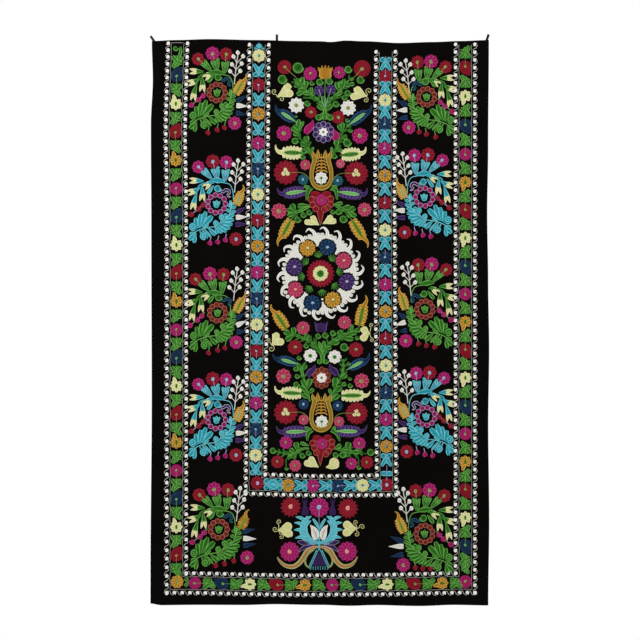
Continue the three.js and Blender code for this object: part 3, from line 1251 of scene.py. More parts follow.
TOP_CURLS = (
    (-91+110j, 22), (-156+158j, 19), (117+117j, 16), (168+160j, 16), (-1+169j, 15),
    (38+165j, 15), (-34+174j, 11), (-53+258j, 13), (115+215j, 14), (66+260j, 14),
    (101+234j, 12), (-6+315j, 14), (42+315j, 14),
)
TOP_COLUMN_STEMS = (
    ((-35+490j, -47+436j, -84+402j, -91+362j, -102+341j), (3, 6, 6, 6, 3)),
    ((47+490j, 66+442j, 88+407j, 94+381j, 112+356j), (3, 6, 6, 6, 3)),
)
TOP_COLUMN_LOBES = (
    (-91+376j, -88+325j, 9), (-88+370j, -68+333j, 6), (-92+380j, -117+357j, 9),
    (-88+392j, -110+381j, 9), (-50+422j, -58+394j, 10), (-52+432j, -80+426j, 9),
    (-35+457j, -27+440j, 5), (-38+470j, -62+440j, 8), (92+376j, 76+346j, 8),
    (93+376j, 94+337j, 8), (88+402j, 113+398j, 9), (68+440j, 68+412j, 10),
    (56+466j, 46+440j, 5), (60+462j, 84+440j, 8),
)
TOP_COLUMN_CURLS = (
    (-100+311j, 7), (-104+413j, 14), (-67+455j, 13), (-72+479j, 12), (113+328j, 10),
    (126+370j, 10), (113+421j, 17), (84+452j, 10), (60+476j, 12),
)
MIDDLE_STEMS = (
    ((-40+684j, -59+693j, -82+704j, -104+709j, -122+706j), (6, 10, 10, 9, 4)),
    ((56+676j, 81+690j, 101+701j, 120+709j, 138+704j), (5, 10, 11, 9, 4)),
    ((-38+606j, -50+624j, -56+660j), (12, 8, 3)),
    ((46+606j, 66+618j, 71+658j), (12, 8, 3)),
)
MIDDLE_LOBES = (
    (-46+681j, -92+682j, 8), (-104+706j, -118+676j, 11), (-104+706j, -136+700j, 10),
    (-104+710j, -134+726j, 9), (-98+712j, -114+735j, 4), (58+676j, 94+672j, 7),
    (92+695j, 126+688j, 11), (120+706j, 144+690j, 10), (118+708j, 150+728j, 9),
    (110+706j, 127+732j, 7), (-40+612j, -66+600j, 6), (50+612j, 70+600j, 6),
)
MIDDLE_CURLS = (
    (-93+740j, 14), (-69+721j, 12.5), (-45+710j, 12.5), (97+738j, 16), (76+708j, 13),
    (53+708j, 11),
)
LOWER_STEMS = (
    ((10+1336j, 7+1300j, -20+1261j, -48+1241j, -76+1230j, -98+1221j, -130+1212j),
     (12, 13, 11, 9, 9, 8, 3)),
    ((10+1336j, 14+1300j, 31+1266j, 53+1244j, 78+1230j, 101+1216j, 140+1208j),
     (12, 13, 11, 9, 9, 8, 3)),
)
LOWER_LOBES = (
    (-104+1224j, -112+1188j, 10), (-116+1218j, -150+1204j, 10),
    (-110+1222j, -142+1240j, 10), (-62+1237j, -50+1216j, 10),
    (-20+1268j, -38+1260j, 7), (40+1258j, 80+1246j, 10),
    (87+1230j, 138+1236j, 10), (110+1216j, 152+1208j, 9), (126+1210j, 135+1176j, 6),
    (90+1224j, 78+1200j, 10), (24+1276j, 46+1271j, 8), (9+1290j, -5+1247j, 5),
    (12+1290j, 17+1244j, 7), (4+1300j, -26+1232j, 4),
)
LOWER_CURLS = (
    (-58+1264j, 11.5), (-87+1314j, 10.5), (157+1198j, 11), (154+1231j, 10), (54+1211j, 13),
    (101+1269j, 17), (-8+1223j, 12.5), (22+1220j, 13.5), (-3+1329j, 11), (25+1329j, 11),
    (119+1337j, 9),
)
LOWER_COLUMN_STEMS = (
    ((-42+1496j, -48+1466j, -59+1437j, -67+1404j, -74+1376j, -76+1346j),
     (4, 6, 6, 6, 10, 8)),
    ((48+1496j, 53+1466j, 65+1432j, 81+1404j, 95+1370j, 97+1320j), (4, 6, 6, 6, 8, 4)),
)
LOWER_COLUMN_LOBES = (
    (-76+1366j, -92+1340j, 8), (-74+1366j, -58+1342j, 9), (-51+1442j, -39+1400j, 10),
    (-54+1444j, -74+1405j, 9), (-50+1460j, -82+1431j, 9), (-45+1462j, -27+1442j, 8),
    (-44+1484j, -72+1464j, 9), (62+1438j, 64+1396j, 12), (84+1402j, 112+1383j, 9),
    (58+1460j, 88+1433j, 11), (50+1490j, 79+1467j, 10), (46+1470j, 39+1442j, 6),
    (88+1430j, 108+1420j, 8),
)
LOWER_COLUMN_CURLS = (
    (-101+1359j, 11), (-95+1390j, 11), (-98+1424j, 13), (123+1400j, 9), (125+1429j, 11),
)
FOOT_STEMS = (
    ((-45+1690j, -70+1691j, -93+1703j, -110+1714j, -135+1712j, -182+1703j),
     (5, 8, 9, 9, 3, 2)),
    ((56+1690j, 81+1695j, 115+1702j, 137+1705j, 176+1702j), (4, 9, 13, 9, 3)),
    ((-124+1722j, -140+1736j, -140+1764j), (2.5, 2.5, 2)),
    ((150+1712j, 160+1736j, 161+1764j), (2.5, 2.5, 2)),
    ((160+1704j, 186+1712j, 202+1708j), (2.5, 2, 2)),
    ((-34+1612j, -50+1628j, -53+1658j), (10, 8, 3)),
    ((48+1612j, 70+1628j, 82+1660j), (10, 8, 3)),
)
FOOT_LOBES = (
    (-46+1679j, -82+1666j, 7), (-95+1698j, -100+1664j, 11), (-104+1706j, -126+1692j, 9),
    (-106+1708j, -114+1732j, 10), (-112+1712j, -134+1731j, 6), (62+1690j, 88+1675j, 8),
    (114+1700j, 119+1664j, 12), (128+1704j, 162+1706j, 9), (110+1704j, 116+1726j, 10),
    (-34+1612j, -66+1603j, 6), (48+1612j, 66+1600j, 6),
)
FOOT_CURLS = (
    (-195+1698j, 13.5), (-73+1719j, 12.5), (-48+1708j, 12), (-139+1772j, 9), (94+1716j, 14),
    (65+1716j, 12.5), (210+1705j, 15), (161+1769j, 10),
)


def sew_pairs(sew, needle, pair, *rest, **looks):
    """Sews one motif on the left and its like on the right."""
    for points in pair:
        sew(needle, *points, *rest, **looks)


def sew_flowers(needle, blooms, petals, thread, heart="olive", heart_share=0.3):
    """Flowers of one colour, each with its place and radius."""
    for place, radius in blooms:
        flower(needle.at(place), radius, petals, thread, heart, heart_share=heart_share)


def sew_panel_top(needle):
    """The upper garden of the centre panel."""
    for place, radius, stalk in ((-147+108j, 29, -100+150j), (175+114j, 35, 128+165j)):
        full_flower(needle.at(place), radius, "crimson")
        needle.line("olive", (place, stalk), 1.2, lift=TOPMOST)
    sew_flowers(needle, ((-40+135j, 29), (80+130j, 26)), 10, "magenta", heart_share=0.24)
    tulip_crown(needle, "gold", 22+157j, ((-27, 50), (-13, 57), (0, 58), (13, 56), (27, 50)))
    needle.line("pale_green", (22+157j, 20+215j, 19+277j), 1.2, lift=TOPMOST)
    for place in (-4+204j, 45+200j):
        flower(needle.at(place), 21, 6, "purple", "lilac", heart_share=0.16)
        needle.line("lilac", (place, 0.5 * place + (9.5+138j), 19+277j), 1.0, lift=OVER)
    sew_pairs(curl_heart, needle, (
        (-134+189j, -125+217j, -178+230j, ((-189+209j, 12), (-160+240j, 12))),
        (156+201j, 142+229j, 194+228j, ((203+207j, 14), (190+244j, 11))),
    ))
    foliage(needle, TOP_STEMS, TOP_LOBES, TOP_CURLS)
    for place in (-98+266j, 117+277j):
        daisy(needle.at(place), 33, 10, "white", "olive", 0.3)
    sew_flowers(needle, ((-38+295j, 25), (75+316j, 27)), 8, "crimson")
    sew_pairs(smooth_leaf, needle, (
        (-104+332j, -166+292j, -184+263j), (122+346j, 192+294j, 214+263j),
    ), 20)
    sew_flowers(needle, ((-149+382j, 32), (166+393j, 33)), 9, "magenta")
    comma_petal(needle, -50+366j, -29+326j, 16, "magenta")
    comma_petal(needle.at(0, mirrored=True), -66+397j, -50+352j, 18, "magenta")
    round_rosette(needle.at(14+377j), 45, 46, "purple", "lilac", 19)
    foliage(needle, TOP_COLUMN_STEMS, TOP_COLUMN_LOBES, TOP_COLUMN_CURLS)
    sew_pairs(scalloped_leaf, needle, (
        (-76+464j, -158+462j, -184+430j), (91+473j, 168+466j, 190+439j),
    ), 29, "cream", "leaf_green", vein="olive")


def sew_vase(needle, crown, bottom, centre, bloom, daisies, small, leaves):
    """A vase with a big daisy, two small flowers and a purple leaf on each side."""
    vase(needle, crown, bottom, centre, bloom)
    for place, radius in daisies:
        here = needle.at(place)
        flower(here, radius, 14, "crimson", "crimson", heart_share=0.3)
        for seed in around(3, 0.2 * radius, 0.5):
            here.disc("cream", seed, 0.2 * radius, lift=TOPMOST)
        way = 1 if place.real > centre else -1
        needle.line(
            "olive",
            (place - 10 * way, 0.5 * (place.real + centre) + 1j * (place.imag + 4),
             centre + 34 * way + 1j * (bottom - 30)), 1.0, lift=TOPMOST,
        )
    for place, radius, thread in small:
        heart_thread = "sky" if thread in ("teal", "navy") else "olive"
        flower(needle.at(place), radius, 8, thread, heart_thread)
    sew_pairs(scalloped_leaf, needle, leaves, 26, "purple", "pale_green", core_share=0.3)


def sew_panel_middle(needle):
    """The upper vase with its pendant, and the leaves above the rosette."""
    sew_vase(
        needle, 450, 621, 6, 5+568j, ((-142+545j, 50), (151+548j, 49)),
        ((-61+513j, 22, "rose"), (85+508j, 19, "rose"), (-70+575j, 22, "teal"),
         (74+579j, 22, "teal")),
        ((-67+622j, -152+634j, -176+609j), (83+626j, 174+638j, 195+609j)),
    )
    pendant(
        needle, ((-4+640j, -38+632j), (12+640j, 46+632j)),
        (-37+657j, 45+654j, -31+679j, 44+677j, -17+696j, 33+690j, 18+698j), 12.5,
        2+758j, 6+659j,
    )
    foliage(needle, MIDDLE_STEMS, MIDDLE_LOBES, MIDDLE_CURLS)
    sew_flowers(needle, ((-170+705j, 32), (185+699j, 29)), 9, "rose")
    sew_pairs(scalloped_leaf, needle, (
        (-120+742j, -160+815j, -173+850j), (134+744j, 180+820j, 197+857j),
    ), 25, "gold", "lime", core_share=0.4)
    sew_pairs(heart, needle, (
        (-28+733j, -52+751j, -4+763j), (43+731j, 57+747j, 12+757j),
    ), 13, "cream")


ROSETTE_CENTRE = 2+964j
ROSETTE_FLOWERS = (
    (-52+859j, "gold"), (30+856j, "navy"), (98+911j, "rose"), (111+998j, "purple"),
    (53+1073j, "gold"), (-31+1087j, "navy"), (-103+1031j, "rose"), (-106+937j, "purple"),
)
# Petals and heart of the gold, navy, rose and purple flowers in turn
ROSETTE_BLOOMS = ((10, "cream"), (9, "sky"), (10, "salmon"), (9, "lilac"))
# The white ring: its rows lie between two radii, squeezed to an oval, with room for the flowers
RING_INSIDE = 102.0
RING_OUTSIDE = 156.0
RING_WIDE = 0.965
RING_TALL = 1.03
FLOWER_ROOM = 37.0
# Its edge: two scallops and one hook in turn, pushed outwards where a flower is near
RING_PLACES = 54
SCALLOP_OUT = 158.0
SCALLOP_ROOM = 41.0
SCALLOP_RADIUS = 9.5
RING_HOOK = ((148, 0), (166, 0.01), (180, -0.05), (186, -0.12), (178, -0.19))
# Green sprigs inside it: radii of root and middle, length of a blade, and the blades' leans
SPRIG_ROOT = 66.0
SPRIG_MIDDLE = 77.0
SPRIG_REACH = 18.0
SPRIG_LEANS = (-85, -51, -17, 17, 51, 85)


def oval(points):
    """The wreath is a little taller than wide."""
    points = np.asarray(points, complex)
    return RING_WIDE * points.real + 1j * RING_TALL * points.imag


def sew_rosette(needle):
    """The round wreath in the middle: daisy, eight flowers and a white scalloped ring."""
    here = needle.at(ROSETTE_CENTRE)
    flower(here, 57, 22, "crimson", "cream")
    for out in around(11, 32, 0.0):
        here.fill("cream", (0.4 * out, 0.7 * out, out), 8.6 * ROUND_PETAL, lift=TOPMOST)
    here.disc("leaf_green", 0, 16.5, lift=2 * TOPMOST)
    centres = np.array([place - ROSETTE_CENTRE for place, _ in ROSETTE_FLOWERS])
    for k, radius in enumerate(np.arange(RING_INSIDE, RING_OUTSIDE, ROW_PITCH)):
        turn = np.linspace(0, math.tau, int(math.tau * radius / COIL_STEP))
        round_row = oval(radius * np.exp(1j * turn))
        clear = np.abs(round_row[:, None] - centres[None, :]).min(1) > FLOWER_ROOM
        cuts = np.flatnonzero(np.diff(clear.astype(int))) + 1
        for part, kept in zip(np.split(round_row, cuts), np.split(clear, cuts)):
            if kept[0] and len(part) > 2:
                here.row("white", part, ROW_PITCH / 2 * ROW_COVER, tone=0.9 * (k % 2) - 0.4)
    for (place, thread), (petals, core) in zip(ROSETTE_FLOWERS, 2 * ROSETTE_BLOOMS):
        flower(needle.at(place), 33.5, petals, thread, core, heart_share=0.22)
    for first, second in zip(centres, np.roll(centres, -1)):
        turn = cmath.phase(first)
        gap = (cmath.phase(second) - turn) % math.tau
        way = cmath.rect(1, turn + gap / 2)
        root = SPRIG_ROOT * way
        for lean in SPRIG_LEANS:
            end = way * (SPRIG_MIDDLE + cmath.rect(SPRIG_REACH, math.radians(lean)))
            here.line("leaf_green", (root, end), (0.9, 1.9, 1.6), tone=0.35)
    for k, way in enumerate(around(RING_PLACES, 1.0, 0.0)):
        if k % 3:
            near = np.abs(oval(SCALLOP_OUT * way) - centres).min()
            place = oval((SCALLOP_OUT + max(0.0, SCALLOP_ROOM - near)) * way)
            here.disc("white", place, SCALLOP_RADIUS, rim=0.8)
        else:
            hook = [oval(way * cmath.rect(reach, turn)) for reach, turn in RING_HOOK]
            here.fill("white", hook, (7.0, 7.0, 5.5, 3.6, 1.2))


def sew_panel_bottom(needle):
    """The lower garden of the centre panel, its vase and its pendant."""
    sew_pairs(scalloped_leaf, needle, (
        (-141+1191j, -186+1124j, -202+1092j), (163+1178j, 182+1092j, 188+1054j),
    ), 25, "gold", "lime", core_share=0.4)
    sew_flowers(needle, ((-70+1190j, 28), (102+1167j, 28)), 10, "rose", heart_share=0.24)
    tulip_crown(needle, "purple", 5+1207j, ((-25, 44), (-13, 38), (0, 42), (13, 40), (25, 46)))
    sew_pairs(curl_heart, needle, (
        (-182+1222j, -163+1247j, -200+1262j, ((-202+1276j, 14), (-212+1240j, 9))),
        (184+1197j, 182+1230j, 206+1212j, ((214+1178j, 9), (214+1240j, 9))),
    ))
    sew_flowers(needle, ((-103+1270j, 31), (149+1280j, 31)), 9, "crimson", heart_share=0.24)
    sew_flowers(needle, ((-40+1305j, 28), (61+1310j, 28)), 8, "white", "leaf_green", 0.34)
    sew_pairs(smooth_leaf, needle, (
        (-94+1339j, -168+1318j, -198+1298j), (118+1360j, 182+1326j, 205+1293j),
    ), 19)
    foliage(needle, LOWER_STEMS, LOWER_LOBES, LOWER_CURLS)
    comma_petal(needle, -42+1376j, -20+1342j, 14, "purple")
    comma_petal(needle.at(0, mirrored=True), -62+1372j, -40+1340j, 14, "purple")
    round_rosette(needle.at(7+1397j), 40, 48, "rust", "peach", 21)
    sew_flowers(needle, ((-151+1390j, 31), (173+1410j, 31)), 8, "rose")
    foliage(needle, LOWER_COLUMN_STEMS, LOWER_COLUMN_LOBES, LOWER_COLUMN_CURLS)
    sew_pairs(scalloped_leaf, needle, (
        (-79+1462j, -162+1458j, -187+1431j), (91+1471j, 182+1470j, 208+1451j),
    ), 27, "cream", "leaf_green", vein="olive")
    sew_vase(
        needle, 1459, 1624, 5, 7+1579j, ((-142+1540j, 49), (152+1544j, 46)),
        ((-68+1507j, 22, "navy"), (74+1513j, 22, "navy"), (-68+1571j, 22, "rose"),
         (79+1579j, 22, "rose")),
        ((-61+1619j, -152+1622j, -180+1597j), (74+1618j, 166+1620j, 194+1592j)),
    )
    pendant(
        needle, ((0+1652j, -30+1645j), (20+1650j, 48+1642j)),
        (-31+1668j, 50+1663j, -23+1688j, 50+1683j, -14+1708j, 36+1702j, 24+1714j), 12.3,
        1+1757j, 9+1671j,
    )
    for thread, blooms in (
        ("magenta", ((-141+1665j, 27), (163+1670j, 27), (131+1753j, 25))),
        ("crimson", ((-176+1745j, 27), (195+1748j, 27))), ("rose", ((-103+1761j, 25),)),
    ):
        sew_flowers(needle, blooms, 9, thread, heart_share=0.24)
    heart(needle, -36+1736j, -54+1752j, -6+1768j, 15, "cream")
    comma_drop(needle.at(0, mirrored=True), -65+1748j, -25+1768j, 23, "cream")
    foliage(needle, FOOT_STEMS, FOOT_LOBES, FOOT_CURLS)


# Bouquet under the centre panel

# Its middle line, and how much narrower its right half is
BOUQUET = -2+0j
BOUQUET_RIGHT = 0.9
# The palmette's lobes from root to end with their bend, and half widths as shares
PALMETTE_LOBES = (
    (60+1990j, 99+1974j, -0.1), (64+2012j, 104+1998j, -0.12),
    (66+2036j, 106+2028j, -0.12), (54+2064j, 101+2062j, -0.12),
    (60+1998j, 33+1971j, 0.12), (58+2012j, 35+1990j, 0.1),
)
PALMETTE_LOBE = np.array((0.9, 1.0, 0.95, 0.7, 0.15))
PALMETTE_SEPALS = (
    ((10+2085j, 50+2083j, 90+2077j), (2.0, 5.0, 9.0, 10.0, 3.0)),
    ((24+2092j, 60+2099j, 87+2118j), (2.0, 5.0, 7.5, 6.5, 2.0)),
)
HORN = (
    1+2098j, 22+2101j, 50+2115j, 66+2140j, 83+2164j, 110+2180j, 143+2175j, 165+2156j,
    175+2140j,
)
HORN_HALVES = np.array((4.0, 7.0, 9.5, 10.0, 10.0, 9.5, 8.0, 6.0, 2.0))
HORN_LOOP = (22+2109j, 48+2128j, 60+2153j, 55+2175j, 39+2187j)


def sew_bouquet(needle):
    """A turquoise palmette with tulips, hearts, daisies, horns and a triangular foot."""
    for place in (-121+1932j, 116+1939j):
        daisy(needle.at(place), 43, 15, "crimson", "salmon", 0.24)
    flower(needle.at(-4+1935j), 41, 11, "magenta", "sky", heart_share=0.26)
    sew_flowers(needle, ((-125+2118j, 41), (113+2118j, 41)), 12, "magenta", "salmon", 0.24)
    for mirrored in (False, True):
        half = needle.at(BOUQUET, mirrored=mirrored, widen=1.0 if mirrored else BOUQUET_RIGHT)
        half.fill(
            "purple", (60+1968j, 60+1940j, 61+1910j), (13.0, 16.0, 11.0, 7.0, 6.0),
            tone=-0.2, rim=0.1,
        )
        for out in (-7, 0, 7):
            point = (61 + out + 1915j, 61 + 1.4 * out + 1895j)
            half.fill("purple", point, (3.0, 0.8), tone=-0.2, rim=0.2)
        half.fill(
            "turquoise", (2+2083j, 44+2071j, 63+2046j, 66+2019j, 60+1991j, 49+1972j),
            (5.0, 13.0, 17.0, 17.0, 13.0, 4.0), tone=0.6, rim=0.3,
        )
        for root, end, bend in PALMETTE_LOBES:
            leaflet(half, "turquoise", root, end, 7.2, bend, 0.4, PALMETTE_LOBE, lift=0.2)
        half.fill("turquoise", (2+2024j, 12+2004j, 27+1982j), (4.0, 6.5, 4.0), tone=0.3)
        half.fill(
            "white", (15+2069j, 18+2043j, 25+2024j, 38+2008j), (7.0, 15.5, 15.0, 9.0, 1.2),
            lift=OVER,
        )
        half.line("peach", (12+2062j, 16+2044j, 24+2028j), 0.9, lift=2 * TOPMOST)
        for spine, widths in PALMETTE_SEPALS:
            half.fill("purple", spine, widths, rim=0.0)
            line = through(spine)
            side = sideways(line) * graded(widths, len(line))
            edge = np.concatenate((line + side, (line - side)[::-1]))
            half.row("lilac", edge, 0.6, lift=OVER, closed=True)
        half.fill("olive", HORN, HORN_HALVES, tone=0.7)
        half.fill("peach", HORN, 0.55 * HORN_HALVES, lift=OVER, tone=-0.6)
        half.fill("olive", HORN_LOOP, (3.0, 4.5, 4.5, 4.0, 2.5), tone=0.2)
        half.line("gold", HORN[2:8], (2.0, 2.6, 1.6), lift=2 * TOPMOST)
    needle.line("sky", (-4+1945j, -4+1980j, -3+2020j), 0.9, lift=TOPMOST)
    needle.fill("turquoise", (-3+2020j, -3+2060j, -3+2112j), (3.0, 3.0, 3.5), lift=OVER, tone=0.5)
    sew_pairs(curl_heart, needle, (
        (-134+2013j, -131+2043j, -173+2028j,
         ((-169+1994j, 11), (-186+2024j, 12), (-161+2056j, 11))),
        (112+2008j, 110+2040j, 153+2022j,
         ((149+1997j, 11), (175+2016j, 12), (152+2046j, 11))),
    ), 18.5)
    apex, left, right = -3+2118j, -35+2176j, 28+2176j
    for share in np.linspace(0.06, 0.97, 16):
        a = apex + (left - apex) * share
        b = apex + (right - apex) * share
        needle.line("purple", (a, b), 2.4, tone=-0.2)
    for corner, out in ((left, -1), (right, 1)):
        for near in (3, 11):
            rail = (apex - 8j + near * out, corner + 4j + near * out)
            needle.line("turquoise", rail, 1.1, tone=0.9)
        for share in np.linspace(0.1, 1, 9):
            spot = apex - 6j + (corner - apex + 8j) * share
            rung = (spot + 3 * out, spot + 7 * out - 2j, spot + 11 * out)
            needle.line("turquoise", rung, 1.1, tone=0.9)
    for share in np.linspace(-0.05, 1.05, 8):
        foot = left + (right - left) * share
        needle.disc("turquoise", foot + 7j, 3.0, tone=0.6)
        needle.line("turquoise", (foot + 10j, foot + 13j, foot + 18j), (1.2, 1.4, 0.8), tone=0.6)


# Meshes from rows of stitches

HEM_STITCH_PITCH = 9.0
HEM_STITCH_LENGTH = 6.0
HEM_STITCH_THICKNESS = 0.8
HEM_STITCH_SLANT = math.radians(35)
# How far inside the hem its stitches lie
HEM_STITCH_IN = 0.2
# Stitches on a loop's tail: heights against the top edge, and places across the tape
LOOP_STITCH_LEVELS = (-5.0, 4.0 - TAPE_TAIL)
LOOP_STITCH_OUTS = (-3.0, 0.0, 3.0)


def rows_mesh(name, rows):
    """A mesh of edges, one chain for each row, with its half widths and tones."""
    points = np.concatenate([on_front(row[0], row[2]) for row in rows])
    halves = np.concatenate([row[1] for row in rows]) * MM
    tones = np.concatenate([row[3] for row in rows])
    edges = []
    start = 0
    for line, _, _, _, closed in rows:
        ids = np.arange(start, start + len(line))
        edges.append(np.stack((ids[:-1], ids[1:]), -1))
        if closed:
            edges.append(np.array(((ids[-1], ids[0]),)))
        start += len(line)
    edges = np.concatenate(edges)
    mesh = bpy.data.meshes.new(name)
    mesh.vertices.add(len(points))
    mesh.vertices.foreach_set("co", points.ravel())
    mesh.edges.add(len(edges))
    mesh.edges.foreach_set("vertices", edges.ravel())
    mesh.attributes.new("half_width", "FLOAT", "POINT").data.foreach_set("value", halves)
    mesh.attributes.new("tone", "FLOAT", "POINT").data.foreach_set("value", tones)
    mesh.update()
    return mesh


def new_tree(name, **inputs):
    """A geometry node tree with these inputs, and the sockets that give them."""
    tree = bpy.data.node_groups.new(name, "GeometryNodeTree")
    for port, kind in inputs.items():
        tree.interface.new_socket(
            port.replace("_", " "), in_out="INPUT", socket_type="NodeSocket" + kind,
        )
    tree.interface.new_socket("Stitches", in_out="OUTPUT", socket_type="NodeSocketGeometry")
    return tree, add_node(tree, "NodeGroupInput").outputs


def end_tree(tree, stitches, thread):
    """Ends a tree with real geometry that is shaded smoothly and has the thread's material."""
    real = add_node(tree, "GeometryNodeRealizeInstances", {"Geometry": stitches})
    smooth = add_node(tree, "GeometryNodeSetShadeSmooth", {"Geometry": real.outputs[0]})
    dyed = add_node(
        tree, "GeometryNodeSetMaterial", {"Geometry": smooth.outputs[0], "Material": thread},
    )
    add_node(tree, "NodeGroupOutput", {"Stitches": dyed.outputs[0]})
    return tree


def captured(tree, curve, name, measure):
    """A curve that carries along one measure of its splines, and that measure."""
    run = add_node(tree, "GeometryNodeSplineParameter")
    kept = add_node(tree, "GeometryNodeCaptureAttribute", {"Geometry": curve})
    kept.capture_items.new("FLOAT", name)
    tree.links.new(run.outputs[measure], kept.inputs[1])
    return kept.outputs["Geometry"], kept.outputs[1]


def stitch_tree():
    """Geometry nodes that turn chains of edges into rounded rows of chain stitch."""
    tree, given = new_tree(
        "chain_stitch_rows", Rows="Geometry", Roundness="Float", Link_Length="Float",
        Thread="Material",
    )
    lines = add_node(tree, "GeometryNodeMeshToCurve", {"Mesh": given["Rows"]})
    level = add_node(
        tree, "GeometryNodeSetCurveNormal", {"Curve": lines.outputs[0]}, {"mode": "FREE"},
        Normal=(0.0, -1.0, 0.0),
    )
    rows, along = captured(tree, level.outputs[0], "along", "Length")
    arch = add_node(
        tree, "GeometryNodeCurveArc", Resolution=4, Radius=1.0, Start_Angle=-math.pi / 2,
        Sweep_Angle=math.pi,
    )
    height = add_node(tree, "ShaderNodeCombineXYZ", {"X": given["Roundness"]}, Y=1.0, Z=1.0)
    low_arch = add_node(
        tree, "GeometryNodeTransform",
        {"Geometry": arch.outputs["Curve"], "Scale": height.outputs[0]},
    )
    section, across = captured(tree, low_arch.outputs[0], "across", "Factor")
    half = add_node(
        tree, "GeometryNodeInputNamedAttribute", settings={"data_type": "FLOAT"}, Name="half_width",
    )
    sweep = add_node(
        tree, "GeometryNodeCurveToMesh",
        {"Curve": rows, "Profile Curve": section, "Scale": half.outputs[0]},
    )
    links = maths(tree, "DIVIDE", along, given["Link Length"])
    from_middle = maths(tree, "ABSOLUTE", maths(tree, "SUBTRACT", across, 0.5))
    slanted = maths(tree, "MULTIPLY_ADD", from_middle, LINK_SLANT, links)
    chart = add_node(tree, "ShaderNodeCombineXYZ", {"X": slanted, "Y": across})
    stored = add_node(
        tree, "GeometryNodeStoreNamedAttribute",
        {"Geometry": sweep.outputs[0], "Value": chart.outputs[0]},
        {"data_type": "FLOAT2", "domain": "CORNER"}, Name="stitch",
    )
    return end_tree(tree, stored.outputs[0], given["Thread"])


def hand_stitch_tree():
    """Geometry nodes that lay one slanting stitch of sewing thread at each point."""
    tree, given = new_tree(
        "hand_stitches", Places="Geometry", Length="Float", Thickness="Float", Thread="Material",
    )
    bead = add_node(tree, "GeometryNodeMeshUVSphere", Segments=8, Rings=5, Radius=0.5)
    shape = add_node(
        tree, "ShaderNodeCombineXYZ",
        {"X": given["Length"], "Y": given["Thickness"], "Z": given["Thickness"]},
    )
    drawn = add_node(
        tree, "GeometryNodeTransform", {"Geometry": bead.outputs["Mesh"], "Scale": shape.outputs[0]},
    )
    slant = add_node(
        tree, "GeometryNodeInputNamedAttribute", settings={"data_type": "FLOAT_VECTOR"}, Name="slant",
    )
    laid = add_node(
        tree, "GeometryNodeInstanceOnPoints",
        {"Points": given["Places"], "Instance": drawn.outputs[0], "Rotation": slant.outputs[0]},
    )
    return end_tree(tree, laid.outputs[0], given["Thread"])


def hem_places():
    """Places and slants of the stitches that hold the hem, all round the cloth's back."""
    inside = HEM_WIDTH + HEM_STITCH_IN
    end = CLOTH_WIDTH / 2 - 2 * HEM_WIDTH
    across = np.arange(-end, end, HEM_STITCH_PITCH)
    down = np.arange(2 * HEM_WIDTH, CLOTH_LENGTH - 2 * HEM_WIDTH, HEM_STITCH_PITCH)
    layer = CLOTH_THICKNESS / 2 + HEM_LAYER / 2
    places, slants = [], []
    for level in (inside, CLOTH_LENGTH - inside):
        places.append(cloth_points(across, np.full(len(across), level), layer))
        slants.extend([(0.0, math.pi / 2 - HEM_STITCH_SLANT, 0.0)] * len(across))
    for side in (-1, 1):
        edge = side * (CLOTH_WIDTH / 2 - inside)
        places.append(cloth_points(np.full(len(down), edge), down, layer))
        slants.extend([(0.0, HEM_STITCH_SLANT, 0.0)] * len(down))
    return np.concatenate(places), slants


def on_loop(across, lean, wide, depth, height):
    """Points in metres on a loop that leans over from its place on the top edge."""
    angle = math.radians(lean)
    top = float(eased(TOP_EDGE, np.array(across)))
    x = across + wide * math.cos(angle) + height * math.sin(angle)
    y = CLOTH_THICKNESS / 2 + HEM_LAYER + SEWN_GAP + depth
    z = top - wide * math.sin(angle) + height * math.cos(angle)
    return np.stack((x, y, z), -1) * MM


def loop_places():
    """Places and slants of the stitches that hold each loop's tail to the hem."""
    places, slants = [], []
    for _, across, lean in LOOPS:
        for level in LOOP_STITCH_LEVELS:
            for out in LOOP_STITCH_OUTS:
                places.append(on_loop(across, lean, out, 2 * TAPE_THICKNESS, level))
                slants.append((0.0, math.radians(lean) + math.pi / 2 - HEM_STITCH_SLANT, 0.0))
    return np.array(places), slants


def places_mesh(name, places, slants):
    """A mesh of loose points that carry a turn each."""
    mesh = bpy.data.meshes.new(name)
    mesh.vertices.add(len(places))
    mesh.vertices.foreach_set("co", np.asarray(places).ravel())
    slant = mesh.attributes.new("slant", "FLOAT_VECTOR", "POINT")
    slant.data.foreach_set("vector", np.asarray(slants).ravel())
    mesh.update()
    return mesh


def new_piece(name, mesh):
    """An object at the origin that holds a mesh."""
    piece = bpy.data.objects.new(name, mesh)
    bpy.context.scene.collection.objects.link(piece)
    return piece


def made_by_nodes(name, mesh, tree, inputs):
    """The plain mesh that a node tree makes of a mesh, as a new object."""
    piece = new_piece(name, mesh)
    modifier = piece.modifiers.new("nodes", "NODES")
    modifier.node_group = tree
    for item in tree.interface.items_tree:
        if item.in_out == "INPUT" and item.name in inputs:
            modifier[item.identifier] = inputs[item.name]
    graph = bpy.context.evaluated_depsgraph_get()
    made = bpy.data.meshes.new_from_object(piece.evaluated_get(graph))
    piece.modifiers.clear()
    piece.data = made
    made.name = name
    if not made.polygons:
        raise RuntimeError(name + " came out empty")
    return piece


def quads(ids):
    """The faces between neighbours in a grid of point numbers."""
    return np.stack((ids[:-1, :-1], ids[1:, :-1], ids[1:, 1:], ids[:-1, 1:]), -1).reshape(-1, 4)


